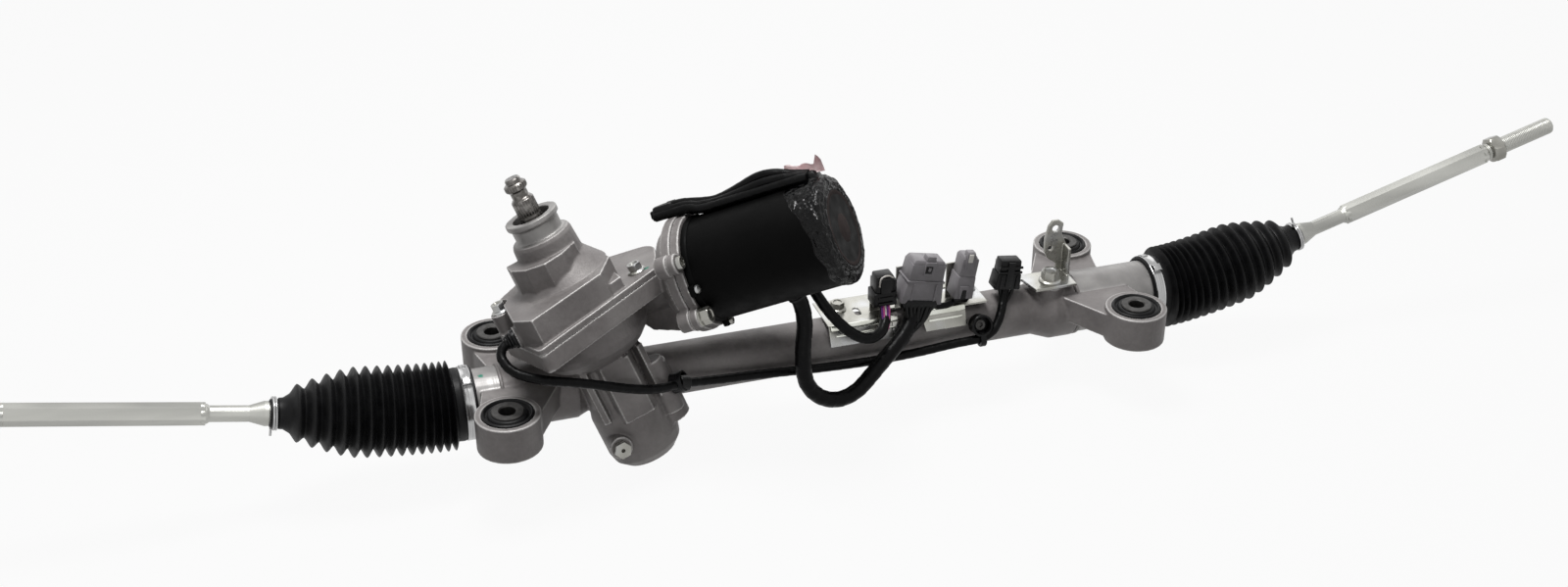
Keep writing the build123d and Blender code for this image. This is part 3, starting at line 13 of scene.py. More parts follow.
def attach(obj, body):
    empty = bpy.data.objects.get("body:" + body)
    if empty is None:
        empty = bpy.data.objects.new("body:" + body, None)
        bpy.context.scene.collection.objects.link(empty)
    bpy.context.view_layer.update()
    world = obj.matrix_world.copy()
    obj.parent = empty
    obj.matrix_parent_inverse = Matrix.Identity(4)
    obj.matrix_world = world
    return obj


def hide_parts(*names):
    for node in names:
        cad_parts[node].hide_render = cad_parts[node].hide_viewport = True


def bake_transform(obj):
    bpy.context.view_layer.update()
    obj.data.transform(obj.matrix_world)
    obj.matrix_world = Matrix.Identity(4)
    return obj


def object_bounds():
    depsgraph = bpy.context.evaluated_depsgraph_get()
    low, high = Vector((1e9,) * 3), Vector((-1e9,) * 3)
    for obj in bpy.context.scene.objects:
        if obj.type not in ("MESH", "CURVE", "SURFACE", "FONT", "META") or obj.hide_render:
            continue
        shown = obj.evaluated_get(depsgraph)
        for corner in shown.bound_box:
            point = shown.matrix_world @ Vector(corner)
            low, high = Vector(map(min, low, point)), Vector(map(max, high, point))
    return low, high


bl_info = {
    "name": "Steering rack",
    "version": (1, 0, 0),
    "blender": (4, 5, 0),
    "location": "3D View > Sidebar > Rack",
    "description": "Dresses the frame of an electric steering rack: castings, boots, rods, motor, cables",
    "category": "Add Mesh",
}

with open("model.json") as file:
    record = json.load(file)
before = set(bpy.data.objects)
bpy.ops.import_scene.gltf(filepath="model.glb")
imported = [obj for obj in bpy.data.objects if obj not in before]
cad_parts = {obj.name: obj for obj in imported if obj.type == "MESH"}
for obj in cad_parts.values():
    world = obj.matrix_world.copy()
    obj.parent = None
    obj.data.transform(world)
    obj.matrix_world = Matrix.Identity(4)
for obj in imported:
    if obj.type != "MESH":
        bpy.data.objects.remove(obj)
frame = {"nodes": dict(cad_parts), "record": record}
cad_low, cad_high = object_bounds()
MM = 0.001


def from_hex(text):
    """Linear colour from an sRGB hex value such as 9b9791."""
    parts = [int(text[i:i + 2], 16) / 255 for i in (0, 2, 4)]
    return tuple(c / 12.92 if c <= 0.04045 else ((c + 0.055) / 1.055) ** 2.4 for c in parts)


# Directions and frames of the tilted pinion tower and of the motor
lean_along, lean_back, motor_swing = radians(20), radians(13.5), radians(-33)
up_shaft = Vector((-sin(lean_along), cos(lean_along) * sin(lean_back), cos(lean_along) * cos(lean_back)))
across = Vector((cos(lean_along), sin(lean_along) * sin(lean_back), sin(lean_along) * cos(lean_back)))
behind = up_shaft.cross(across)
motor_way = across * cos(motor_swing) + behind * sin(motor_swing)
worm_way = up_shaft.cross(motor_way)
pinion_origin = Vector((-166.5, 0, 0)) - behind * 17
worm_origin = pinion_origin + worm_way * 46 + up_shaft * 54


def stand(origin, x_way, z_way):
    """A place to build on: a matrix whose Z is z_way and whose X is as near x_way as it can be."""
    z = Vector(z_way).normalized()
    x = Vector(x_way)
    x = (x - z * x.dot(z)).normalized()
    place = Matrix((x, z.cross(x), z)).transposed().to_4x4()
    place.translation = Vector(origin)
    return place


def at(place, x, y, z):
    """The point x, y, z of a place, in the row frame."""
    return place @ Vector((x, y, z))


def beside_motor(angle):
    """The direction square to the motor's axis at an angle in degrees."""
    return MOTOR.col[0].xyz * cos(radians(angle)) + MOTOR.col[1].xyz * sin(radians(angle))


TOWER = stand(pinion_origin, across, up_shaft)
MOTOR = stand(worm_origin, up_shaft, motor_way)
FLOOR = stand((0, 0, 0), (1, 0, 0), (0, 0, 1))
left_ball, right_ball = -327.0, 347.0
left_rise, right_rise = radians(11.0), radians(16.3)
left_rod_way = Vector((-cos(left_rise), 0, sin(left_rise)))
right_rod_way = Vector((cos(right_rise), 0, sin(right_rise)))
SIDES = {
    "left": {
        "out": stand((left_ball, 0, 0), (0, 1, 0), (-1, 0, 0)),
        "rod": stand((left_ball, 0, 0), (0, 1, 0), left_rod_way),
    },
    "right": {
        "out": stand((right_ball, 0, 0), (0, 1, 0), (1, 0, 0)),
        "rod": stand((right_ball, 0, 0), (0, 1, 0), right_rod_way),
    },
}
lug_places = [(-259.65, -59.8), (259.65, -59.8), (-249.8, 59.8), (249.8, 59.8)]
boot_groove = 100.0
cuff_low, cuff_high, cuff_radius = -49.0, -41.0, 28.1

# Stations along a tie rod, from its ball: hexagonal shank, locknut and the end of the thread
hexagon_low, hexagon_high = 149.0, 290.0
nut_low, nut_high = 295.0, 306.0
thread_end = 355.4
thread_core, thread_crest = 6.95, 7.35

# Where the housing's tube ends and the cover's collar are turned after casting
left_turned_end, right_turned_end, turned_tube_radius = -257.0, 229.0, 26.5
collar_low, collar_radius = 137.2, 22.0


# Finishes
def add(tree, kind, inputs=None, **settings):
    """Add a node; an input is a value or the socket that feeds it."""
    node = tree.nodes.new("ShaderNode" + kind)
    for name, value in settings.items():
        setattr(node, name, value)
    for name, value in (inputs or {}).items():
        if isinstance(value, bpy.types.NodeSocket):
            tree.links.new(value, node.inputs[name])
        else:
            node.inputs[name].default_value = value
    return node


def relief(tree, height, depth_mm, below=None):
    """A bump whose full height is depth_mm, on top of another bump if there is one."""
    inputs = {"Height": height, "Distance": depth_mm * MM, "Strength": 1.0}
    if below is not None:
        inputs["Normal"] = below
    return add(tree, "Bump", inputs).outputs["Normal"]


def grains(tree, size_mm, detail=2.0, stretch=None):
    """Noise with grains of a size in millimetres, drawn out along an axis by stretch."""
    where = add(tree, "TexCoord").outputs["Object"]
    if stretch:
        where = add(tree, "Mapping", {"Vector": where, "Scale": stretch}).outputs["Vector"]
    scale = 1 / (size_mm * MM)
    return add(tree, "TexNoise", {"Vector": where, "Scale": scale, "Detail": detail}).outputs["Fac"]


def shades(tree, fac, *stops):
    """A colour ramp from (position, hex) stops."""
    ramp = add(tree, "ValToRGB", {"Fac": fac})
    while len(ramp.color_ramp.elements) < len(stops):
        ramp.color_ramp.elements.new(0.5)
    for element, (position, text) in zip(ramp.color_ramp.elements, stops):
        element.position = position
        element.color = (*from_hex(text), 1)
    return ramp.outputs["Color"]


def spread(tree, fac, low, high):
    """A value from low to high as fac goes from 0.3 to 0.7."""
    return add(tree, "MapRange", {
        "Value": fac, "From Min": 0.3, "From Max": 0.7, "To Min": low, "To Max": high}).outputs["Result"]


def new_finish(name, metallic, roughness, **sockets):
    """A material with its shader; returns the material, its tree and its shader."""
    material = bpy.data.materials.new(name)
    material.use_nodes = True
    tree = material.node_tree
    tree.nodes.clear()
    shader = add(tree, "BsdfPrincipled", {"Metallic": metallic, "Roughness": roughness})
    for key, value in sockets.items():
        shader.inputs[key.replace("_", " ")].default_value = value
    add(tree, "OutputMaterial", {"Surface": shader.outputs["BSDF"]})
    return material, tree, shader


def feed(tree, shader, colour=None, roughness=None, normal=None):
    """Link what varies over the surface to the shader."""
    for name, socket in (("Base Color", colour), ("Roughness", roughness), ("Normal", normal)):
        if socket is not None:
            tree.links.new(socket, shader.inputs[name])


def near_point(tree, point, radius_mm, wander):
    """1 within a ragged patch round a point, 0 outside."""
    where = add(tree, "TexCoord").outputs["Object"]
    spot = [c * MM for c in point]
    away = add(tree, "VectorMath", {0: where, 1: spot}, operation="DISTANCE").outputs["Value"]
    ragged = add(tree, "Math", {0: wander, 1: radius_mm * MM * 0.9}, operation="MULTIPLY").outputs[0]
    reach = add(tree, "Math", {0: away, 1: ragged}, operation="ADD").outputs[0]
    return add(tree, "MapRange", {
        "Value": reach, "From Min": radius_mm * MM * 1.1, "From Max": radius_mm * MM * 0.9,
        "To Min": 0.0, "To Max": 1.0}).outputs["Result"]


def mixed(tree, share, one, other):
    """A share of the other colour in one colour."""
    return add(tree, "MixRGB", {"Fac": share, "Color1": one, "Color2": other}).outputs["Color"]


def edge_wear_and_painted_light(tree, colour, bright, corner_shade):
    """A colour brightened along raised edges, as wear and a painted highlight, and darkened in corners as
    painted shade.
    """
    edge = add(tree, "NewGeometry").outputs["Pointiness"]
    # Raised edges: wear and a painted highlight
    wear_and_painted_light = add(tree, "MapRange", {"Value": edge, "From Min": 0.515, "From Max": 0.57}).outputs["Result"]
    # Corners and hollows: painted shade
    corner_shade_mask = add(tree, "MapRange", {
        "Value": edge, "From Min": 0.485, "From Max": 0.42, "To Max": 0.8}).outputs["Result"]
    colour = mixed(tree, wear_and_painted_light, colour, (*from_hex(bright), 1))
    return mixed(tree, corner_shade_mask, colour, (*from_hex(corner_shade), 1))


# Finishes with one noise each for colour, gloss and relief: the material's name, its metallic and roughness,
# other sockets, (grain, detail, dark, light) of the colour, (grain, detail, low, high) of the roughness and
# (grain, detail, depth) of the relief. Grains and depths are millimetres
PLAIN_FINISHES = {
    # Zinc plating of the pressed rails, painted paler as a highlight where they catch the lamp, and smoother
    "bright_zinc": ("zinc_plating_painted_highlight", 0.9, 0.24, {},
                    (16, 1, "c4c5ba", "dadbd4"), (6, 2, 0.2, 0.3), None),
    # Ground steel: even, cool and fairly sharp in its reflections
    "steel": ("ground_steel", 1.0, 0.28, {},
              (9, 3, "8f8d8a", "aeacab"), (1.5, 2, 0.2, 0.34), (1.2, 2, 0.02)),
    # Moulded chloroprene rubber: near black, with a soft bloom and a fine mould texture
    "black_rubber": ("moulded_rubber", 0.0, 0.5, {"IOR": 1.52, "Specular_IOR_Level": 0.15},
                     (18, 3, "050506", "0c0c0d"), (8, 3, 0.4, 0.58), (1.3, 2, 0.05)),
    # Moulded black nylon of plugs, clips and cable exits
    "black_plastic": ("moulded_black_nylon", 0.0, 0.34, {"IOR": 1.53, "Specular_IOR_Level": 0.15},
                      (7, 2, "040405", "09090a"), (1.1, 2, 0.24, 0.4), (0.9, 1, 0.03)),
    # Moulded grey polyester of the power plug and the narrow plug: satin, with flow marks
    "grey_plastic": ("moulded_grey_polyester", 0.0, 0.42, {"IOR": 1.57, "Specular_IOR_Level": 0.3},
                     (11, 3, "767376", "868386"), (1.2, 2, 0.36, 0.5), (1.0, 1, 0.03)),
    # Black enamel sprayed on the drawn motor can: satin gloss with a slight orange peel
    "black_paint": ("black_enamel", 0.0, 0.46, {"IOR": 1.5, "Specular_IOR_Level": 0.045},
                    (30, 3, "020202", "050505"), (9, 2, 0.42, 0.58), (2.4, 2, 0.04)),
    # The can's stamped end, where the paint is thin and dull: dark warm grey
    "dull_end": ("thin_enamel_on_steel", 0.0, 0.85, {"Specular_IOR_Level": 0.05},
                 (16, 3, "3a3433", "443d3c"), (3, 2, 0.75, 0.95), (1.8, 2, 0.04)),
    # Glossy vinyl tape: wrinkled black film with sharp glints
    "vinyl_tape": ("glossy_vinyl_tape", 0.0, 0.06, {"IOR": 1.53, "Specular_IOR_Level": 0.3},
                   (10, 2, "020203", "070708"), None, (5, 2, 2.2)),
    # White nylon of the wheel rim, seats and coil bodies: creamy and faintly waxy
    "white_nylon": ("moulded_white_nylon", 0.0, 0.4, {"IOR": 1.53},
                    (12, 2, "e2dfd8", "efece6"), None, (1.5, 2, 0.03)),
    # Enamelled copper wire of the winding: warm red-brown with a lacquer shine
    "copper_wire": ("enamelled_copper", 1.0, 0.3, {"Coat_Weight": 0.3, "Coat_Roughness": 0.2},
                    (3, 2, "8a4a2a", "b96f45"), None, (0.8, 1, 0.1)),
    # Sintered bronze of the rack bush: matt brown-gold with open pores
    "bearing_bronze": ("sintered_bronze", 1.0, 0.45, {},
                       (1.2, 3, "7d6238", "a8894f"), None, (0.6, 2, 0.05)),
    # Stamped electrical steel and sintered magnets: dark and slightly rough
    "dark_iron": ("electrical_steel", 0.9, 0.5, {},
                  (4, 3, "383736", "4b4a49"), None, (0.9, 2, 0.04)),
    # Thin tinted film of a tag left on the motor: pale pink
    "film": ("tinted_film", 0.0, 0.25, {"IOR": 1.5},
             (6, 3, "dcbcbe", "efdcdc"), None, (4, 2, 0.3)),
}
# PVC insulation of the thin leads, extruded: smooth and slightly waxy
for key, dark, light in (("violet_wire", "5a2a6b", "74408a"), ("pink_wire", "a8437a", "c2649a"),
                         ("white_wire", "b9b4ae", "d3cfca"), ("black_wire", "050505", "0b0b0b")):
    PLAIN_FINISHES[key] = ("pvc_" + key, 0.0, 0.4, {"IOR": 1.53, "Specular_IOR_Level": 0.15},
                           (4, 2, dark, light), None, (1, 1, 0.02))


def make_finishes(settings):
    """Every finish by name."""
    made = {}
    pen_marks = [at(TOWER, 59, -19, 79.5), (-270, -5, 27)]
    pen_green = (*from_hex("1f6b58"), 1)

    # Die-cast aluminium, bead blasted: a dull warm grey with a fine pebbled skin, handling stains, edges
    # painted bright as wear and a highlight, painted shade in corners, and two green inspection marks dabbed
    # on with a felt pen. The plain one has no wear, no painted light and no marks
    for key, wear_and_painted_light in (("cast_aluminium", True), ("plain_casting", False)):
        material, tree, shader = new_finish("die_" + key, 0.25, 0.52, Specular_IOR_Level=0.35)
        stain = grains(tree, 38, 4)
        pebble = grains(tree, 1.4, 2)
        fine = grains(tree, 4.5, 3)
        colour = shades(tree, stain, (0.32, "625e5d"), (0.5, "757170"), (0.68, "8b8886"))
        colour = mixed(tree, 0.2, colour, shades(tree, fine, (0.3, "524e4c"), (0.7, "9f9b9a")))
        colour = mixed(tree, 0.3, colour, (*settings.casting_colour, 1))
        if wear_and_painted_light:
            for point in pen_marks:
                colour = mixed(tree, near_point(tree, point, 4.5, fine), colour, pen_green)
            # Edges painted bright as wear and highlight; corners painted dark as shade
            colour = edge_wear_and_painted_light(tree, colour, "dcdad8", "34302f")
        feed(tree, shader, colour, spread(tree, fine, 0.44, 0.6),
             relief(tree, pebble, 0.16, relief(tree, fine, 0.25)))
        made[key] = material

    # Turned aluminium on the tube ends and the tower's collar: brighter than the casting, with tool rings
    material, tree, shader = new_finish("turned_aluminium", 0.45, 0.42, Specular_IOR_Level=0.35)
    rings = grains(tree, 60, 1, (90.0, 1.0, 1.0))
    colour = shades(tree, grains(tree, 20, 3), (0.3, "7e7c7b"), (0.7, "989694"))
    colour = mixed(tree, near_point(tree, pen_marks[1], 4.5, grains(tree, 4.5, 3)), colour, pen_green)
    feed(tree, shader, colour, spread(tree, rings, 0.36, 0.5), relief(tree, rings, 0.03))
    made["turned_aluminium"] = material

    # Zinc-plated pressed steel: pale, slightly yellow and blue in patches, with soft reflections
    material, tree, shader = new_finish("zinc_plated_steel", 0.9, 0.28)
    cloud = grains(tree, 22, 1)
    colour = shades(tree, cloud, (0.3, "85847e"), (0.5, "9b9a94"), (0.7, "acadae"))
    feed(tree, shader, colour, spread(tree, grains(tree, 6, 2), 0.22, 0.36))
    made["zinc_steel"] = material

    # Oiled steel of the input shaft: darker, with a wet sheen and brown film in patches
    material, tree, shader = new_finish("oiled_steel", 0.95, 0.3, Coat_Weight=0.4, Coat_Roughness=0.15)
    feed(tree, shader, shades(tree, grains(tree, 5, 4), (0.3, "35322f"), (0.55, "666360"), (0.75, "94918e")),
         spread(tree, grains(tree, 2, 2), 0.22, 0.42), relief(tree, grains(tree, 1.2, 2), 0.04))
    made["oiled_steel"] = material

    # Forged and drawn steel of the tie rods: grey-green phosphate with a thin oil film and drawn streaks
    material, tree, shader = new_finish("phosphated_steel", 0.85, 0.36)
    streak = grains(tree, 26, 3, (0.12, 1.0, 1.0))
    feed(tree, shader, shades(tree, streak, (0.3, "959591"), (0.55, "adada8"), (0.75, "c2c2bd")),
         spread(tree, streak, 0.3, 0.46), relief(tree, grains(tree, 1.6, 2), 0.05))
    made["rod_steel"] = material

    # Loom tape wound round the cables: black vinyl drawn into folds, with narrow glints along them
    material, tree, shader = new_finish("wound_loom_tape", 0.0, 0.36, IOR=1.5, Specular_IOR_Level=0.09)
    folds = grains(tree, 5.5, 3)
    feed(tree, shader, shades(tree, folds, (0.3, "030303"), (0.7, "080809")),
         spread(tree, grains(tree, 6, 2), 0.24, 0.5), relief(tree, folds, 0.5))
    made["cable_sheath"] = material

    # Bright pressed stainless strip of the boot clamps: mirror-like with rolling lines round the band
    material, tree, shader = new_finish("rolled_stainless_strip", 1.0, 0.16)
    lines = grains(tree, 30, 1, (60.0, 1.0, 1.0))
    feed(tree, shader, shades(tree, lines, (0.3, "939393"), (0.7, "b9b9b9")), spread(tree, lines, 0.16, 0.3))
    made["stainless"] = material

    for key, (name, metallic, roughness, sockets, tone, gloss, bumps) in PLAIN_FINISHES.items():
        material, tree, shader = new_finish(name, metallic, roughness, **sockets)
        grain, detail, dark, light = tone
        colour = shades(tree, grains(tree, grain, detail), (0.3, dark), (0.7, light))
        shine = spread(tree, grains(tree, *gloss[:2]), *gloss[2:]) if gloss else None
        feed(tree, shader, colour, shine, relief(tree, grains(tree, *bumps[:2]), bumps[2]) if bumps else None)
        made[key] = material
    return made


# Forms: each maker returns a bmesh in millimetres, and gather() turns a list of them into one piece
def skin(form, rings, around=True, joined=False, capped=False):
    """Faces between rings of vertices: around closes each ring, joined ties the last ring to the first,
    and capped closes both ends."""
    for a, b in zip(rings, rings[1:] + rings[:1] if joined else rings[1:]):
        for k in range(len(a) if around else len(a) - 1):
            n = (k + 1) % len(a)
            form.faces.new((a[k], a[n], b[n], b[k]))
    if capped:
        form.faces.new(rings[0][::-1])
        form.faces.new(rings[-1])


def ring_of(form, place, radius, height, steps):
    """A ring of vertices about a place's Z; the radius may be a function of the angle."""
    ring = []
    for k in range(steps):
        turn = 2 * pi * k / steps
        r = radius(turn) if callable(radius) else radius
        ring.append(form.verts.new(at(place, r * cos(turn), r * sin(turn), height)))
    return ring


def turned(place, rows, steps=72, closed=False):
    """A form turned about a place's Z from (radius, height) rows."""
    form = bmesh.new()
    rings = [ring_of(form, place, radius, height, steps) for radius, height in rows]
    skin(form, rings, joined=closed, capped=not closed)
    bmesh.ops.remove_doubles(form, verts=form.verts, dist=1e-4)
    return form


def slab(place, corners, low, high, edge=0.5, top=None):
    """A straight or tapering prism with softened edges; top gives the far end's corners."""
    form = bmesh.new()
    below = [form.verts.new(place @ Vector((x, y, low))) for x, y in corners]
    above = [form.verts.new(place @ Vector((x, y, high))) for x, y in (top or corners)]
    skin(form, [below, above], capped=True)
    bmesh.ops.bevel(form, geom=form.edges[:], offset=edge, segments=2, profile=0.5, affect="EDGES",
                    clamp_overlap=True)
    return form


def oblong(w, d, x=0.0, y=0.0):
    """Corners of a rectangle of half sizes w and d."""
    return between(x - w, x + w, y - d, y + d)


def between(x_low, x_high, y_low, y_high):
    """Corners of a rectangle from its edges."""
    return [(x_low, y_low), (x_high, y_low), (x_high, y_high), (x_low, y_high)]


def line_through(route, spacing=1.2):
    """Even points along the smooth NURBS line whose control points are the route, in millimetres."""
    curve = bpy.data.curves.new("route", "CURVE")
    curve.dimensions = "3D"
    curve.resolution_u = 24
    spline = curve.splines.new("NURBS")
    spline.points.add(len(route) - 1)
    for point, spot in zip(spline.points, route):
        point.co = (*(Vector(spot) * MM), 1.0)
    spline.order_u = 3
    spline.use_endpoint_u = True
    carrier = bpy.data.objects.new("route", curve)
    bpy.context.scene.collection.objects.link(carrier)
    mesh = bpy.data.meshes.new_from_object(carrier)
    raw = [v.co / MM for v in mesh.vertices]
    bpy.data.objects.remove(carrier)
    bpy.data.curves.remove(curve)
    bpy.data.meshes.remove(mesh)
    total = sum((b - a).length for a, b in zip(raw, raw[1:]))
    count = max(4, int(ceil(total / spacing)))
    points, i, gone = [], 0, 0.0
    for k in range(count + 1):
        want = total * k / count
        while i < len(raw) - 2 and gone + (raw[i + 1] - raw[i]).length < want:
            gone += (raw[i + 1] - raw[i]).length
            i += 1
        length = max(1e-9, (raw[i + 1] - raw[i]).length)
        points.append(raw[i].lerp(raw[i + 1], min(1.0, (want - gone) / length)))
    return points


def tube(points, radius, steps=20, lap=0.0):
    """A tube round a line; lap is the pitch of the tape wound round it."""
    form = bmesh.new()
    rings, side, gone = [], None, 0.0
    for i, point in enumerate(points):
        ahead = points[min(i + 1, len(points) - 1)] - points[max(i - 1, 0)]
        way = ahead.normalized()
        if side is None:
            side = way.orthogonal()
        side = (side - way * side.dot(way)).normalized()
        other = way.cross(side)
        if i:
            gone += (point - points[i - 1]).length
        ring = []
        for k in range(steps):
            turn = 2 * pi * k / steps
            grow = 1.0 if not lap else 0.965 + 0.05 * ((gone / lap + k / steps) % 1.0)
            ring.append(form.verts.new(point + (side * cos(turn) + other * sin(turn)) * radius * grow))
        rings.append(ring)
    skin(form, rings, capped=True)
    return form


def hex_round(flats):
    """Radius of a hexagon at an angle."""
    return lambda turn: flats / 2 / cos((turn + pi / 6) % (pi / 3) - pi / 6)


def chamfered(flats, cap):
    """Radius of a hexagon trimmed by a cone, for the ends of nuts and heads."""
    plain = hex_round(flats)
    return lambda turn: min(plain(turn), cap)


def bolt(place, x, y, seat, flats, shank, depth, flange=0.72):
    """A flange-head bolt: shank, washer face, chamfered hexagon and dished top."""
    spot = stand(at(place, x, y, 0), place.col[0].xyz, place.col[2].xyz)
    wide, top = flats * flange, seat + flats * 0.72
    cap = flats * 0.56
    rows = [(0, seat - depth), (shank - 0.6, seat - depth), (shank, seat - depth + 0.8), (shank, seat),
            (wide, seat), (wide, seat + 0.8), (wide - 0.4, seat + 1.2), (flats * 0.6, seat + 1.9),
            (hex_round(flats), seat + 2.1), (hex_round(flats), top - 0.9), (chamfered(flats, cap), top - 0.5),
            (chamfered(flats, cap - 0.5), top), (flats * 0.36, top), (flats * 0.3, top - 0.8), (0, top - 0.9)]
    return turned(spot, rows, 60)


def gather(name, forms, finish, body="housing", slot=None, sharp=38.0, replaces=(), keep_free=False):
    """One piece from several forms, in metres, with its finish, riding on its body."""
    whole = bmesh.new()
    for form in forms:
        bmesh.ops.recalc_face_normals(form, faces=form.faces)
        part = bpy.data.meshes.new("part")
        form.to_mesh(part)
        form.free()
        whole.from_mesh(part)
        bpy.data.meshes.remove(part)
    bmesh.ops.scale(whole, vec=(MM, MM, MM), verts=whole.verts)
    for face in whole.faces:
        face.smooth = True
    mesh = bpy.data.meshes.new(name)
    whole.to_mesh(mesh)
    whole.free()
    mesh.set_sharp_from_angle(angle=radians(sharp))
    return settle(bpy.data.objects.new(name, mesh), finish, body, slot, replaces, keep_free)


def settle(thing, finish, body, slot=None, replaces=(), keep_free=False):
    """Link a piece to the scene, dress it and let it ride on its body."""
    bpy.context.scene.collection.objects.link(thing)
    finishes = [finish] if isinstance(finish, str) else finish
    for each in finishes:
        thing.data.materials.append(FINISH[each])
    if not keep_free:
        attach(thing, body)
    slot = slot or finishes[0]
    if replaces:
        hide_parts(*replaces)
    return thing


FINISH = {}


class RackLooks(bpy.types.PropertyGroup):
    """Sizes and colours that can be changed before the pieces are made."""

    casting_voxel: FloatProperty(
        name="Casting voxel", description="Voxel that rounds the edges of the castings", default=0.9 * MM,
        min=0.4 * MM, subtype="DISTANCE", unit="LENGTH")
    sheet_voxel: FloatProperty(
        name="Sheet voxel", description="Voxel that rounds the edges of the pressed brackets",
        default=0.4 * MM, min=0.3 * MM, subtype="DISTANCE", unit="LENGTH")
    casting_colour: FloatVectorProperty(
        name="Casting colour", description="Middle shade of the blasted casting", default=from_hex("757170"),
        size=3, min=0, max=1, subtype="COLOR")
    boot_steps: IntProperty(
        name="Boot steps", description="Segments round each boot", default=96, min=24)
    thread_pitch: FloatProperty(
        name="Rod thread pitch", description="Pitch of the thread on the rod ends", default=1.5 * MM,
        min=0.5 * MM, subtype="DISTANCE", unit="LENGTH")
    lap_pitch: FloatProperty(
        name="Tape pitch", description="Pitch of the loom tape round the cables", default=9 * MM,
        min=2 * MM, subtype="DISTANCE", unit="LENGTH")
    key_power: FloatProperty(
        name="Key light", description="Power of the light above", default=21.0, min=0, unit="POWER")
    fill_power: FloatProperty(
        name="Fill light", description="Power of the light at the viewer's side", default=2.0, min=0,
        unit="POWER")


def looks():
    """The settings of this scene."""
    return bpy.context.scene.rack_looks


class RACK_OT_stage(bpy.types.Operator):
    """Camera at the photograph's angle, soft lights, a white world and a pale floor"""

    bl_idname = "rack.stage"
    bl_label = "Stage"

    def execute(self, context):
        scene = context.scene
        scene.view_settings.view_transform = "Standard"
        camera = bpy.data.objects.new("camera", bpy.data.cameras.new("camera"))
        scene.collection.objects.link(camera)
        camera.location = Vector((-422.7, -1229.1, 780.8)) * MM
        aim = Vector((-24.21, 0, 52.25)) * MM - camera.location
        camera.rotation_euler = aim.to_track_quat("-Z", "Y").to_euler()
        camera.data.sensor_width, camera.data.lens = 36.0, 42.75
        scene.camera = camera
        for name, spot, size, power in (
                ("key", (-0.2, 0.1, 1.4), 0.5, looks().key_power),
                ("fill", (-0.5, -1.7, 0.5), 1.2, looks().fill_power),
                ("rim", (0.5, 1.3, 0.8), 1.0, looks().fill_power * 2.0)):
            lamp = bpy.data.lights.new(name, "AREA")
            lamp.size, lamp.energy = size, power
            lamp_object = bpy.data.objects.new(name, lamp)
            scene.collection.objects.link(lamp_object)
            lamp_object.location = spot
            lamp_object.rotation_euler = (-Vector(spot)).to_track_quat("-Z", "Y").to_euler()
        world = bpy.data.worlds.new("white room")
        scene.world = world
        world.use_nodes = True
        tree = world.node_tree
        tree.nodes.clear()
        dim = add(tree, "Background", {"Color": (1, 1, 1, 1), "Strength": 0.12})
        white = add(tree, "Background", {"Color": (1, 1, 1, 1), "Strength": 1.0})
        room = add(tree, "MixShader", {0: self.seen(tree), 1: dim.outputs[0], 2: white.outputs[0]})
        add(tree, "OutputWorld", {"Surface": room.outputs[0]})
        # Matt white board: pale to the lens and in reflections, and it keeps the object's soft shadow
        board = bpy.data.materials.new("matt_white_board")
        board.use_nodes = True
        tree = board.node_tree
        tree.nodes.clear()
        lit = add(tree, "BsdfDiffuse", {"Color": (0.4, 0.4, 0.4, 1)})
        glow = add(tree, "Emission", {"Color": (1, 1, 1, 1), "Strength": 1.0})
        share = add(tree, "Math", {0: self.seen(tree), 1: 0.94}, operation="MULTIPLY").outputs[0]
        add(tree, "OutputMaterial", {
            "Surface": add(tree, "MixShader", {0: share, 1: lit.outputs[0], 2: glow.outputs[0]}).outputs[0]})
        mesh = bpy.data.meshes.new("floor")
        low = cad_low.z - 0.001
        mesh.from_pydata([(-6, -6, low), (6, -6, low), (6, 6, low), (-6, 6, low)], [], [(0, 1, 2, 3)])
        floor = bpy.data.objects.new("floor", mesh)
        scene.collection.objects.link(floor)
        mesh.materials.append(board)
        return {"FINISHED"}

    @staticmethod
    def seen(tree):
        """1 for rays from the lens and for those that metal or glass sends on."""
        path = add(tree, "LightPath").outputs
        some = add(tree, "Math", {
            0: path["Is Camera Ray"], 1: path["Is Glossy Ray"]}, operation="MAXIMUM").outputs[0]
        return add(tree, "Math", {0: some, 1: path["Is Transmission Ray"]}, operation="MAXIMUM").outputs[0]


# Places where the cables and the harness leave the can, and where the sensor cable leaves the tower
power_gland = stand(at(MOTOR, 0, 0, 146), motor_way, beside_motor(193.5))
signal_gland = stand(at(MOTOR, 0, 0, 151), motor_way, beside_motor(213.5))
harness_out = beside_motor(-19)
harness_side = motor_way.cross(harness_out)
grommet = stand(at(TOWER, -50, -38, 86), up_shaft, -across)


def along_can(station, reach, aside=0.0):
    """A point beside the can where the harness runs."""
    return at(MOTOR, 0, 0, station) + harness_out * reach + harness_side * aside


CLIP = stand((136, 0, 0), (1, 0, 0), (0, -0.944, 0.33))
SIDE_CLIP = stand(at(TOWER, 30, -16, -13.3), up_shaft, across * 0.86 - behind * 0.51)

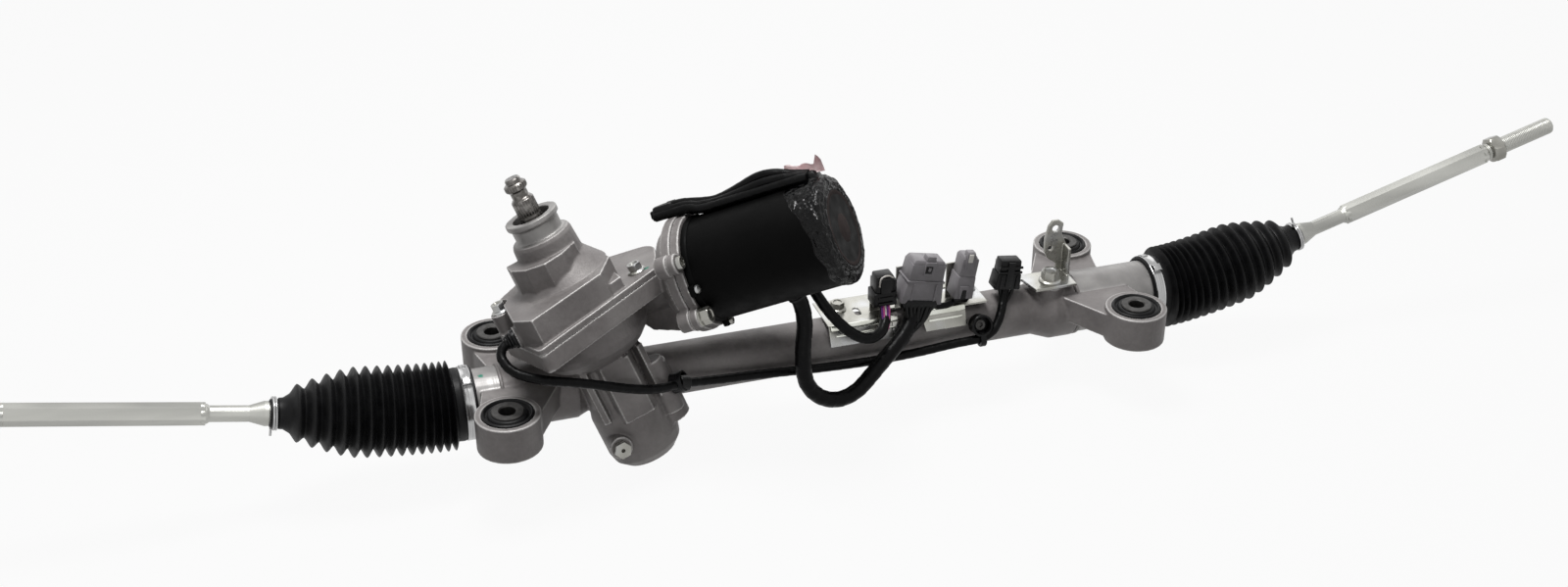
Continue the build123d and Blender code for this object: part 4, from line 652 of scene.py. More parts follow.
ROUTES = {
    "power": [at(power_gland, 0, 0, 45.5), at(power_gland, 0, 0, 57.5), (-19, -38, 44), (-23, -44, 28),
              (-24, -48, 10), (-21, -49, -6), (-10, -50, -19), (6, -49, -25), (22, -47, -21), (34, -44, -11),
              (46, -41, 0), (57, -37, 8), (68, -30, 14), (76, -22.5, 20), (81.5, -16, 31)],
    "signal": [at(signal_gland, 0, 0, 45.5), at(signal_gland, 0, 0, 58.5), (-2, -28, 55), (7, -34, 42),
               (19, -38, 29), (33, -38, 20), (46, -34, 21), (53, -26, 26), (55.5, -18, 32), (56, -13, 40)],
    "branch": [(91, -14.5, 32.5), (95.5, -16.8, 29.8), (102, -18.5, 28.2), (110, -18.5, 28.2),
               (116, -16, 28.8), (120.5, -13.2, 30.5)],
    "sensor": [at(grommet, 0, 0, 4), at(grommet, 0, 0, 19), at(TOWER, -70, -52, 71), at(TOWER, -54, -62, 57),
               (-198, -63, 39), (-164, -56, 23), (-142, -50, 15), (-120, -40, 10.5), (-95, -31.5, 3),
               (-52, -27, -2), (-5, -26.5, -6), (40, -26.5, -8), (82, -27, -7), (112, -29, -3),
               (136, -31, -1.5), (146, -31, 3), (153, -26, 10), (158.5, -19, 18), (162, -12.5, 25),
               (164.5, -9, 33)],
}


class RACK_OT_cords(bpy.types.Operator):
    """Taped cables, free and clipped, the bundled motor leads and the cables' exits"""

    bl_idname = "rack.cords"
    bl_label = "Cables"

    def execute(self, context):
        lap = looks().lap_pitch / MM
        for name, length, diameter in (("power", 217.7, 13.0), ("signal", 126.3, 9.0), ("branch", 33.5, 5.2)):
            line = line_through(ROUTES[name])
            cable = gather(name + "_lead", [tube(line, diameter / 2, 24, lap)], "cable_sheath",
                           replaces=[name + "_cable"])
        line = line_through(ROUTES["sensor"])
        gather("sensor_lead", [tube(line, 3.75, 20, lap)], "cable_sheath", replaces=["sensor_cable"])
        # Leads bundled along the can: a row on its side and rows above that swell and dip as the bundle does
        forms = []
        rows = ((0.0, (-9, -3, 3, 9)), (0.5, (-6, 0, 6)), (1.0, (-4, 2)))
        stations = ((66, 49.6, 53.8), (82, 49.4, 54.8), (92, 48.9, 53.4), (99, 45.6, 51.6), (108, 44.9, 49.6),
                    (118, 44.9, 48.2), (138, 44.9, 52), (153, 44.9, 56), (166, 44.9, 55.4), (180, 44.7, 50.4),
                    (196, 44, 46))
        for share, asides in rows:
            for aside in asides:
                route = []
                for station, low, high in stations:
                    shift = aside * 0.5 if 66 < station < 196 else 0
                    squeeze = 0.75 if station < 95 else 1.0
                    route.append(along_can(station + shift, low + (high - low) * share, aside * squeeze))
                forms.append(tube(line_through(route, 2.0), 3.8, 16, 9.0))
        gather("motor_leads", forms, "cable_sheath", replaces=["motor_harness"])
        self.exits()
        return {"FINISHED"}

    @staticmethod
    def exits():
        """Grommet, gland boots on the can, boots under the grey plugs and the plug on the motor neck."""
        forms = [turned(grommet, [
            (3.8, 3.1), (7.4, 3.1), (7.6, 3.6), (7.6, 5.6), (7.0, 6.0), (6.2, 6.4), (6.2, 7.6), (5.4, 8.0),
            (6.0, 8.6), (5.9, 9.6), (5.1, 10.0), (5.4, 10.8), (4.6, 12.0), (3.8, 12.0)], 48, closed=True)]
        forms.append(turned(power_gland, [
            (6.6, 40), (9.5, 40), (9.5, 44.6), (8.3, 45.2), (8.3, 46.4), (7.6, 46.8), (8.2, 47.4),
            (8.0, 49.4), (6.6, 49.5)], 48, closed=True))
        forms.append(turned(signal_gland, [
            (4.6, 40), (6.0, 40), (6.0, 47.4), (5.4, 48), (5.8, 48.6), (5.4, 49.5), (4.6, 49.5)], 40,
            closed=True))
        forms.append(slab(PLUGS["power"][0], oblong(12, 7.2), -1, 8.4, 1.2, top=oblong(16.6, 9.4)))
        forms.append(slab(PLUGS["narrow"][0], oblong(5.5, 5), 0.8, 6.2, 0.8, top=oblong(7.6, 6.6)))
        neck = stand(worm_origin, motor_way, harness_out)
        forms.append(slab(neck, between(63, 84, -9, 9), 46.4, 57.5, 2.2,
                          top=[(65, -7), (82, -7.5), (82, 7.5), (65, 7)]))
        forms.append(slab(neck, [(61.5, -6), (66, -6.5), (66, 6.5), (61.5, 6)], 48.0, 55.0, 1.6))
        forms.append(slab(neck, oblong(3.2, 2.6, 77, 6.4), 54.5, 58.6, 0.7))
        forms.append(slab(neck, oblong(8, 8.5, 196, 0), 39.5, 48.5, 2.5, top=oblong(6, 6.5, 195, 0)))
        gather("cable_exits", forms, "black_plastic", replaces=["cable_glands"])
        return {"FINISHED"}


def cast_copy(name, node, voxel, rounds, finishes, pick=None):
    """A casting or pressing with rounded edges: the frame's solid through a voxel net, then relaxed."""
    source = bmesh.new()
    source.from_mesh(frame["nodes"][node].data)
    mesh = bpy.data.meshes.new(name)
    source.to_mesh(mesh)
    source.free()
    raw = bpy.data.objects.new(name + "_raw", mesh)
    bpy.context.scene.collection.objects.link(raw)
    net = raw.modifiers.new("net", "REMESH")
    net.mode, net.voxel_size, net.adaptivity = "VOXEL", voxel, 0.0
    relax = raw.modifiers.new("relax", "SMOOTH")
    relax.factor, relax.iterations = 0.5, rounds
    bpy.context.view_layer.update()
    made = bpy.data.meshes.new_from_object(raw.evaluated_get(bpy.context.evaluated_depsgraph_get()))
    made.name = name
    made.materials.clear()
    bpy.data.objects.remove(raw)
    bpy.data.meshes.remove(mesh)
    for face in made.polygons:
        face.use_smooth = True
        if pick:
            face.material_index = pick(face.center / MM)
    return settle(bpy.data.objects.new(name, made), finishes, "housing", replaces=[node])


def housing_zone(spot):
    """1 where a face of the housing is turned after casting: the outside of its tube ends."""
    away = sqrt(spot.y ** 2 + spot.z ** 2)
    past_end = spot.x < left_turned_end or spot.x > right_turned_end
    return 1 if past_end and away < turned_tube_radius else 0


def cover_zone(spot):
    """1 on the turned collar round the input shaft."""
    local = spot - pinion_origin
    high = local.dot(up_shaft)
    away = (local - up_shaft * high).length
    return 1 if high > collar_low and away < collar_radius else 0


class RACK_OT_castings(bpy.types.Operator):
    """Rack housing, sensor cover and motor flange with the rounded edges of castings"""

    bl_idname = "rack.castings"
    bl_label = "Castings"

    def execute(self, context):
        pair = ["cast_aluminium", "turned_aluminium"]
        cast_copy("housing_casting", "rack_housing", looks().casting_voxel, 2, pair, housing_zone)
        cast_copy("cover_casting", "sensor_cover", looks().casting_voxel * 0.8, 2, pair, cover_zone)
        cast_copy("flange_casting", "motor_flange", looks().casting_voxel, 2, ["cast_aluminium"])
        # Raised rings where the turned ends of the tube start
        rings = []
        for x, half in ((228, 1.6), (221, 0.7), (-256, 1.4)):
            rings.append(turned(stand((x, 0, 0), (0, 1, 0), (1, 0, 0)), [
                (22, -half), (26.0, -half), (26.7, -half * 0.5), (26.7, half * 0.5), (26.0, half),
                (22, half)], 120, closed=True))
        gather("tube_rings", rings, "plain_casting", slot="cast_aluminium")
        return {"FINISHED"}


def fold_height(i):
    """0 in a valley and 1 on a ridge, softly rounded in both, i being 2 for each fold."""
    flat = 1 - abs((i % 2) - 1)
    return 0.35 * flat + 0.65 * flat * flat * (3 - 2 * flat)


def boot_stations(side):
    """Places along a boot with its outer and inner radius, from the tube's cuff to the rod's."""
    out, rod = SIDES[side]["out"], SIDES[side]["rod"]
    start, middle, end = at(out, 0, 0, -37), at(out, 0, 0, 0), at(rod, 0, 0, boot_groove - 5)
    rows = []
    for z, outer in ((-51, 27.2), (-50.3, 28.1), (-49.4, 28.1), (-41.2, 28.1), (-40, 28.6), (-38.4, 28.8)):
        rows.append((0, stand(at(out, 0, 0, z), (0, 1, 0), out.col[2].xyz), outer, 25.8))
    count = 30
    fine = 10
    for k in range(count * fine + 1):
        i = k / fine
        share = 0.03 + 0.94 * i / count
        point = start * (1 - share) ** 2 + middle * (2 * share * (1 - share)) + end * share ** 2
        way = (middle - start) * (1 - share) + (end - middle) * share
        fall = max(0.0, (share - 0.66) / 0.34) ** 1.5
        peak, valley = 35 - 17.5 * fall, 28.5 - 16 * fall
        outer = valley + (peak - valley) * fold_height(i)
        rows.append((i, stand(point, (0, 1, 0), way), outer, outer - 1.6))
    for z, outer, inner in ((93.6, 12.0, 9.9), (96.6, 11.8, 9.9), (97.2, 10.9, 8.9), (102.6, 10.9, 8.9),
                            (103.2, 10.4, 8.9)):
        rows.append((30.5, stand(at(rod, 0, 0, z), (0, 1, 0), rod.col[2].xyz), outer, inner))
    return rows


def shell(rows, steps):
    """A closed double-walled skin through rings."""
    form = bmesh.new()
    rings = []
    for _, place, outer, inner in rows:
        for radius in (outer, inner):
            rings.append(ring_of(form, place, radius, 0, steps))
    skin(form, rings[0::2] + rings[1::2][::-1], joined=True)
    return form


class RACK_OT_boots(bpy.types.Operator):
    """Two folded rubber boots, each in three parts from the tube's cuff to the rod's"""

    bl_idname = "rack.boots"
    bl_label = "Boots"

    def execute(self, context):
        steps = looks().boot_steps
        for side in SIDES:
            rows = boot_stations(side)
            # Where each part starts and ends, counted as in fold_height
            cuts = [(0, 20, "inner", "housing", "rack"), (20, 24, "middle", "rack", side + "_seat"),
                    (24, 31, "outer", side + "_seat", side + "_rod")]
            for low, high, part, one, other in cuts:
                mine = [row for row in rows if low <= row[0] <= high]
                name = f"{side}_boot_{part}"
                made = gather(name, [shell(mine, steps)], "black_rubber", keep_free=True)
                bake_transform(made)
                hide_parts(side + "_boot")
        return {"FINISHED"}


class RACK_OT_clamps(bpy.types.Operator):
    """Band clamps on the tube cuffs and wire clips on the rod cuffs"""

    bl_idname = "rack.clamps"
    bl_label = "Boot clamps"

    def execute(self, context):
        bands = []
        for side in SIDES:
            out, rod = SIDES[side]["out"], SIDES[side]["rod"]
            inner, low, high = cuff_radius + 0.02, cuff_low, cuff_high
            band = [(inner, low), (inner + 0.9, low), (inner + 1.15, low + 0.4), (inner + 0.85, low + 1.2),
                    (inner + 0.85, high - 1.2), (inner + 1.15, high - 0.4), (inner + 0.9, high),
                    (inner, high)]
            bands.append(turned(out, band, 120, closed=True))
            # Pinched ear, its two legs, and the overlapping tail with three pressed dimples
            along = out.col[2].xyz
            ear_way = Vector((0, -0.45, 0.9)).normalized()
            ear = stand(out.translation, along, ear_way)
            r = inner + 0.8
            for near, far in ((-3.4, -2.2), (2.2, 3.4)):
                bands.append(slab(ear, between(low + 0.4, high - 0.4, near, far), r - 0.6, r + 3.4, 0.25))
            bands.append(slab(ear, oblong(3.2, 3.3, (low + high) / 2, 0), r + 3.0, r + 4.0, 0.35))
            turn = -0.75 if side == "left" else 0.75
            for k in range(3):
                angle = turn * (1 + 0.14 * k)
                beside = ear_way.cross(along)
                dimple = stand(out.translation, along, ear_way * cos(angle) + beside * sin(angle))
                bands.append(slab(dimple, oblong(2.6, 1.0, (low + high) / 2, 0), r - 0.4, r + 0.9, 0.4))
            # Wire clip: two turns of spring wire and two finger tangs
            lean = 1 if side == "left" else -1
            wire_radius, clip_radius, clip_turns, count = 0.95, 12.0, 2.08, 90
            points = []
            for k in range(count + 1):
                turn = pi / 2 + (-0.25 + clip_turns * 2 * pi * k / count) * lean
                x, y = clip_radius * cos(turn), clip_radius * sin(turn)
                points.append(at(rod, x, y, boot_groove + wire_radius * (4 * k / count - 2)))
            wire = [tube(points, wire_radius, 12)]
            for point in (points[0], points[-1]):
                away, way = point - rod.translation, rod.col[2].xyz
                rise = (away - way * away.dot(way)).normalized()
                wire.append(tube([point, point + rise * 2.5, point + rise * 5.4], wire_radius, 12))
            gather(side + "_wire_clip", wire, "stainless", side + "_rod", "zinc_steel",
                   replaces=[side + "_rod_clip"])
        gather("band_clamps", bands, "stainless", "housing", "zinc_steel", replaces=["boot_bands"])
        return {"FINISHED"}


def thread(place, low, high, pitch, steps=36):
    """The helical thread of a rod between two heights, as one closed skin that fades out at both."""
    rows = []
    rings_per_turn = 8
    count = int((high - low) / pitch * rings_per_turn)
    form = bmesh.new()
    for i in range(count + 1):
        z = low + (high - low) * i / count
        ring = []
        for k in range(steps):
            turn = 2 * pi * k / steps
            phase = ((z - low) / pitch + k / steps) % 1.0
            ridge = max(0.0, 1 - abs(phase - 0.5) * 2.6)
            fade = min(1.0, (z - low) / pitch, (high - z) / pitch)
            r = thread_core + (thread_crest - thread_core) * ridge * max(0.0, fade)
            ring.append(form.verts.new(at(place, r * cos(turn), r * sin(turn), z)))
        rows.append(ring)
    skin(form, rows, capped=True)
    return form


class RACK_OT_rods(bpy.types.Operator):
    """Threads, chamfered locknuts and hexagon ends of the tie rods"""

    bl_idname = "rack.rods"
    bl_label = "Tie rods"

    def execute(self, context):
        pitch = looks().thread_pitch / MM
        for side in SIDES:
            rod = SIDES[side]["rod"]
            body = side + "_rod"
            threads = [thread(rod, nut_high + 0.3, thread_end, pitch),
                       thread(rod, hexagon_high + 0.5, nut_low - 0.2, pitch)]
            gather(side + "_rod_threads", threads, "rod_steel", body, sharp=25)
            low, high = nut_low, nut_high
            nut = [(7.02, low), (9.9, low), (chamfered(21, 10.7), low + 0.5), (hex_round(21), low + 1.7),
                   (hex_round(21), high - 1.7), (chamfered(21, 10.7), high - 0.5), (9.9, high), (7.02, high)]
            gather(side + "_jam_nut", [turned(rod, nut, 72, closed=True)], "zinc_steel", body,
                   replaces=[side + "_locknut"])
            # Chamfered ends of the hexagonal shank and its forged shoulder
            ends = []
            for face, way in ((hexagon_low, -1), (hexagon_high, 1)):
                ends.append(turned(rod, [
                    (6.1, face + way * 2.2), (6.9, face + way * 2.0), (chamfered(15, 7.6), face + way * 0.6),
                    (chamfered(15.06, 8.3), face - way * 1.0), (hex_round(15.05), face - way * 3.2),
                    (6.1, face - way * 3.4)], 60, closed=True))
            gather(side + "_rod_shoulders", ends, "rod_steel", body)
        return {"FINISHED"}


class RACK_OT_input(bpy.types.Operator):
    """Splines, pinch-bolt neck, tip and seal lip of the input shaft"""

    bl_idname = "rack.input"
    bl_label = "Input shaft"

    def execute(self, context):
        steps = 288
        lower = turned(TOWER, [(8.0, 154.6), (8.3, 155.2), (self.splines, 156.4), (self.splines, 167.4),
                               (8.2, 168.4), (7.6, 169.2)], steps)
        upper = turned(TOWER, [(7.6, 176.6), (8.2, 177.0), (self.splines, 177.8), (self.splines, 180.4),
                               (8.2, 181.2), (7.0, 181.9)], steps)
        tip = turned(TOWER, [(5.6, 181.8), (6.1, 182.4), (6.1, 184.8), (5.2, 186.0), (2.2, 186.1),
                             (1.8, 185.2), (0, 185.2)], 48)
        gather("input_splines", [lower, upper, tip], "oiled_steel", "input", "steel", sharp=30)
        lip = [(14.9, 146.6), (15.0, 147.4), (13.4, 147.9), (11.6, 147.5), (10.4, 148.6), (9.3, 148.4),
               (9.1, 147.2), (9.2, 145.0), (12, 144.6), (14.8, 144.8)]
        gather("seal_lip", [turned(TOWER, lip, 96, closed=True)], "black_rubber", "housing")
        return {"FINISHED"}

    @staticmethod
    def splines(turn):
        """Radius of the splined shaft at an angle."""
        root, crest, number = 8.2, 8.85, 24
        wave = 0.5 + 0.5 * cos(number * turn)
        return root + (crest - root) * min(1.0, wave * 1.5)


class RACK_OT_bushes(bpy.types.Operator):
    """Rubber bushes with their bonded steel sleeves"""

    bl_idname = "rack.bushes"
    bl_label = "Bushes"

    def execute(self, context):
        rubbers, sleeves = [], []
        for x, y in lug_places:
            spot = stand((x, y, 0), (1, 0, 0), (0, 0, 1))
            rubbers.append(turned(spot, [
                (12.54, -6.0), (19.0, -6.0), (19.95, -5.0), (19.95, 21.4), (19.6, 23.6), (18.4, 24.2),
                (17.4, 23.7), (16.7, 22.3), (15.6, 22.1), (14.9, 23.4), (13.8, 24.1), (12.54, 24.0)], 72,
                closed=True))
            sleeves.append(turned(spot, [
                (6.3, -7.8), (7.1, -8.5), (11.8, -8.5), (12.5, -7.8), (12.5, 24.8), (11.9, 25.5), (7.2, 25.5),
                (6.3, 24.7)], 72, closed=True))
        gather("rubber_bushes", rubbers, "black_rubber", replaces=["bush_rubbers"])
        gather("steel_sleeves", sleeves, "dark_iron", slot="steel", replaces=["bush_sleeves"])
        return {"FINISHED"}


class RACK_OT_bolts(bpy.types.Operator):
    """Flange bolts and screws with chamfered, dished heads"""

    bl_idname = "rack.bolts"
    bl_label = "Bolts"

    def execute(self, context):
        cover = [(51.5, -15.0, 80.0), (-53.0, 8.0, 95.0), (-20.0, 50.0, 88.0)]
        forms = [bolt(TOWER, x, y, seat + 0.02, flats=10, shank=3, depth=seat - 61) for x, y, seat in cover]
        gather("cover_flange_bolts", forms, "zinc_steel", replaces=["cover_bolts"])
        seat = 91.04
        forms = []
        for x, y in ((-18.8, 45.4), (18.8, -45.4)):
            forms.append(bolt(MOTOR, x, y, seat, flats=12, shank=4, depth=16, flange=0.62))
        for x, y in ((26.5, 41.3), (-26.5, -41.3)):
            spot = stand(at(MOTOR, x, y, 0), up_shaft, motor_way)
            socket = hex_round(5)
            forms.append(turned(spot, [
                (0, 76.1), (2.6, 76.1), (3, 76.8), (3, seat), (5.0, seat), (5.4, 91.5), (5.4, 94.3),
                (4.8, 95.0), (3.2, 95.0), (socket, 94.6), (socket, 93.0), (0, 93.0)], 60))
        gather("motor_screws", forms, "zinc_steel", replaces=["motor_bolts"])
        # Two small screws in ears pressed out of the can's foot
        ears, heads = [], []
        for angle in (86, 163):
            out = stand(worm_origin, motor_way, beside_motor(angle))
            ears.append(slab(out, between(91.3, 96.5, -4.6, 4.6), 39, 47.2, 1.2))
            screw = stand(at(out, 0, 0, 43.6), up_shaft, motor_way)
            heads.append(turned(screw, [
                (0, 90.0), (1.8, 90.0), (1.8, 96.6), (3.4, 96.6), (3.5, 97.2), (3.3, 98.6), (2.2, 99.2),
                (hex_round(3), 99.0), (hex_round(3), 98.0), (0, 98.0)], 40))
        gather("can_ears", ears, "black_paint")
        gather("can_ear_screws", heads, "zinc_steel")
        forms = [bolt(FLOOR, x, 8, 24.84, flats=10, shank=3, depth=7.5) for x in (24, 138)]
        forms.append(bolt(FLOOR, 205.5, -8.3, 29.54, flats=13, shank=4, depth=12))
        gather("bracket_screws", forms, "zinc_steel", replaces=["bracket_bolts"])
        forms = [turned(CLIP, [(0, 18), (3, 18), (3, 26.02), (4.6, 26.02), (4.6, 28.6), (4.2, 29.0),
                               (2.6, 29.0), (hex_round(4), 28.8), (hex_round(4), 27.2), (0, 27.2)], 48)]
        gather("clip_screw", forms, "dark_iron", slot="zinc_steel")
        return {"FINISHED"}


class RACK_OT_brackets(bpy.types.Operator):
    """Pressed zinc-plated brackets with rounded bends and edges"""

    bl_idname = "rack.brackets"
    bl_label = "Brackets"

    def execute(self, context):
        for node, name in (("connector_bracket", "plug_bracket"), ("hook_bracket", "plate_bracket")):
            cast_copy(name, node, looks().sheet_voxel, 3, ["zinc_steel"])
        # Front lip of the plug bracket: plates beside the power cable's notch, and pressed rails
        lip = stand((0, -16.5, 24.8), (1, 0, 0), (0, -0.903, 0.429))
        forms = [slab(lip, [(62, -17), (66, -17), (68.5, 0), (62, 0)], -1.6, 0, 0.3),
                 slab(lip, [(90, -17), (106.5, -17), (106.5, 0), (87, 0)], -1.6, 0, 0.3)]
        rails = []
        for low, high in ((9, 67), (89, 125.5)):
            rails.append(slab(lip, between(low, high, -4.4, 0.6), -0.6, 2.0, 1.2))
            rails.append(slab(lip, between(low + 4, high - 3, -9.6, -7.6), -0.4, 1.2, 0.7))
        gather("bracket_plates", forms, "zinc_steel")
        # The rails take the paler zinc: a painted highlight
        gather("bracket_rails", rails, "bright_zinc", slot="zinc_steel")
        # Open cups of the cable clips and the straps round the cable
        cups = []
        for place, low, high, radius in ((CLIP, 23.1, 34, 8.6), (SIDE_CLIP, 8.3, 19, 8.2)):
            cups.append(turned(place, [
                (radius - 0.8, low), (radius, low + 0.8), (radius, high - 3.2), (radius + 0.5, high - 2.8),
                (radius + 0.5, high - 0.5), (radius, high), (radius - 1.2, high), (radius - 1.6, high - 0.6),
                (radius - 1.6, low + 3), (3.3, low + 2.9), (3.3, low)], 60, closed=True))
        for spot, way, half in (((136, -31, -1.6), (1, 0, 0), 2.5),
                                ((-120, -40, 10.5), (0.873, 0.343, -0.348), 4.5)):
            strap = stand(spot, (0, 0, 1), way)
            cups.append(turned(strap, [(3.95, -half), (6.0, -half), (6.4, -half + 0.5), (6.4, half - 0.5),
                                       (6.0, half), (3.95, half)], 40, closed=True))
        gather("clip_cups", cups, "black_plastic", replaces=["cable_clips"])
        return {"FINISHED"}


class RACK_OT_motor(bpy.types.Operator):
    """End plate, seam, tape and film tag of the motor"""

    bl_idname = "rack.motor"
    bl_label = "Motor"

    def execute(self, context):
        plate = [(0, 208.2), (29.4, 208.2), (29.7, 208.8), (29.3, 209.3), (27.6, 209.4), (26.4, 209.0),
                 (12, 208.7), (11.2, 209.0), (0, 209.1)]
        gather("can_end_plate", [turned(MOTOR, plate, 96)], "dull_end", slot="black_paint")
        seam = [(41.4, 91.2), (42.2, 91.4), (42.6, 92.2), (42.6, 95.6), (42.1, 96.4), (41.4, 96.8)]
        gather("can_seam", [turned(MOTOR, seam, 120, closed=True)], "black_paint")
        # Wrinkled vinyl tape wound round the can's end, lapped over its edge as far as the bare plate. Its
        # skirt on the can is wide under the leads, and it is pulled into steps round the end
        form = bmesh.new()
        rings = []
        count, across_count = 260, 30
        # The can's edge, where along the strip its skirt and its bend end, and the angles of leads and knot
        shoulder, edge_radius, face_radius = 203.6, 4.0, 37.75
        skirt_end, bend_end = 0.45, 0.62
        leads_at, knot_at = 341, 128
        for i in range(count):
            turn = 2 * pi * i / count
            near = degrees(turn) % 360
            ragged = 3 * noise.noise(Vector((turn * 3, 0, 5)))
            skirt = 7 + 19 * max(0.0, cos(turn - radians(-5))) ** 2 + ragged
            ring = []
            for j in range(across_count + 1):
                u = j / across_count
                slope = min(1.0, max(0.0, u - skirt_end) / (bend_end - skirt_end)) * pi / 2
                if u < skirt_end:
                    r, z = face_radius + edge_radius, shoulder - skirt * (1 - u / skirt_end)
                elif u < bend_end:
                    r, z = face_radius + edge_radius * cos(slope), shoulder + edge_radius * sin(slope)
                else:
                    down = (u - bend_end) / (1 - bend_end)
                    r = face_radius - 7.6 * down
                    z = shoulder + edge_radius + 1.5 * down + 0.5 * sin(down * 3 * pi)
                crease = noise.noise(Vector((cos(turn) * 5, sin(turn) * 5, u * 7)))
                fine = noise.noise(Vector((cos(turn) * 17, sin(turn) * 17, u * 16 + 4)))
                puff = (0.55 + 0.95 * crease + 0.45 * fine) * min(1.0, u * 6, (1 - u) * 6)
                away = min(abs(near - leads_at), 360 - abs(near - leads_at))
                hump = 3.4 * max(0.0, 1 - (away / 20) ** 2) * min(1.0, u * 4) * max(0.0, 1 - u / bend_end)
                knot = 1.6 * max(0.0, 1 - ((near - knot_at) / 9) ** 2) * max(0.0, 1 - ((u - 0.5) / 0.2) ** 2)
                lift = max(-0.1, puff) + hump + knot
                r, z = r + lift * cos(slope), z + lift * sin(slope) * 0.8
                ring.append(form.verts.new(at(MOTOR, r * cos(turn), r * sin(turn), z)))
            rings.append(ring)
        skin(form, rings, around=False, joined=True)
        bmesh.ops.solidify(form, geom=form.faces[:], thickness=0.35)
        gather("can_tape", [form], "vinyl_tape", slot="black_plastic", sharp=60)
        # Film tag standing at the top of the can's end
        tag = bmesh.new()
        columns = []
        for i in range(19):
            u = i / 18
            column = []
            for j in range(7):
                v = j / 6
                foot = along_can(178 + 30 * u, 49.0 - 4 * u, 1 + 2 * sin(3 * u))
                top = 57.5 - 6 * u + 0.8 * sin(14 * u) + 7.5 * max(0.0, 1 - abs(u - 0.9) / 0.13)
                rise = (top - 49.0 + 4 * u) * v
                sway = 1.2 * sin(5 * u + 2 * v)
                column.append(tag.verts.new(foot + harness_out * rise + harness_side * sway))
            columns.append(column)
        skin(tag, columns, around=False)
        bmesh.ops.solidify(tag, geom=tag.faces[:], thickness=0.25)
        gather("film_tag", [tag], "film", slot="white_nylon", sharp=60)
        return {"FINISHED"}


# Plugs: place, and by finish, the main one first, blocks of (half sizes, centre), (low, high), edge, top
PLUGS = {
    "power": (stand((82, -15, 29), (0.98, 0, -0.199), (0.199, 0, 0.98)), {
        "grey_plastic": [
            ((18, 10.5, 0, 0), (8, 27.6), 1.0, (15.6, 9.7)),
            ((16.4, 10.2, 0, 0), (26.8, 28.6), 0.5, None),
            ((15.3, 9.3, 0, 0), (28, 42.6), 0.8, (14.6, 9.0)),
            ((14.6, 9.0, 0, 0), (42.2, 46), 1.2, (12.6, 7.6)),
            ((1.4, 6, 15.6, 1), (28, 42), 0.5, None),
            ((4.4, 4.4, 0.6, -5.2), (44, 50), 0.7, (3.8, 3.8)),
            ((4.6, 1.0, 0.6, -9.6), (34, 45.6), 0.4, None),
            ((1.2, 0.4, -0.2, -11.0), (38.2, 41.2), 0.15, None),
            ((0.7, 0.5, -10, -10.4), (10, 26), 0.2, None),
            ((0.7, 0.5, 10, -10.4), (10, 26), 0.2, None)],
        "black_plastic": [
            ((2.9, 0.4, -0.6, -10.6), (36, 42.2), 0.15, None),
            ((14.6, 0.5, 0, -10.5), (7.4, 11.6), 0.3, (12.4, 0.5))]}),
    "signal": (stand((55, -12, 37), (1, 0, 0), (0, 0, 1)), {
        "black_plastic": [
            ((9.8, 8, 0, 0), (0, 12.4), 1.2, None),
            ((8.2, 7.4, 0, 0), (12, 27), 1.6, (7.4, 6.4)),
            ((4.4, 1.4, 0, -7.6), (12, 25), 0.6, None),
            ((1.2, 6, 8.8, 0), (3, 22), 0.5, None),
            ((6.4, 0.7, 0, -8.4), (2, 4), 0.3, None),
            ((6.4, 0.7, 0, -8.4), (7, 9), 0.3, None)]}),
    "narrow": (stand((121, -13, 27), (0.986, 0, -0.165), (0.165, 0, 0.986)), {
        "grey_plastic": [
            ((8.4, 8.2, 0, 0), (6, 25.8), 0.8, (7.6, 7.8)),
            ((6.9, 7.4, 0, 0), (25.4, 42), 0.8, (6.6, 7.2)),
            ((6.6, 7.0, 0, 0), (41.6, 44), 0.9, (5.4, 5.6)),
            ((1.3, 5.6, 7.6, 1), (24, 40), 0.5, None),
            ((3.9, 3.6, -0.6, -4.6), (42, 48), 0.6, (3.3, 3.0)),
            ((3.9, 0.8, -0.6, -7.9), (33, 47.4), 0.4, (3.3, 0.8)),
            ((4.0, 0.8, -0.8, -8.4), (6.6, 18), 0.5, None)],
        "black_plastic": [
            ((2.3, 0.5, -0.8, -9.1), (6.4, 14.6), 0.35, (1.8, 0.5))],
        "white_nylon": [
            ((1.9, 0.4, -1.0, -8.9), (39.6, 46.6), 0.2, None)]}),
    "sensor": (stand((164.5, -7, 30.2), (0.99, 0, -0.14), (0.14, 0, 0.99)), {
        "black_plastic": [
            ((11.6, 7, 0, 0), (0, 14.2), 1.0, (10.4, 6.8)),
            ((9.6, 6.4, 0, 0), (13.8, 26), 1.2, (9.0, 5.8)),
            ((10.4, 1.0, 0, -6.6), (15, 17), 0.4, None),
            ((10.4, 1.0, 0, -6.6), (19.4, 21.4), 0.4, None),
            ((3.2, 1.0, 0, -6.8), (3, 25), 0.4, None),
            ((1.0, 0.6, -7, -7.0), (1, 13), 0.3, None),
            ((1.0, 0.6, 7, -7.0), (1, 13), 0.3, None)]}),
}


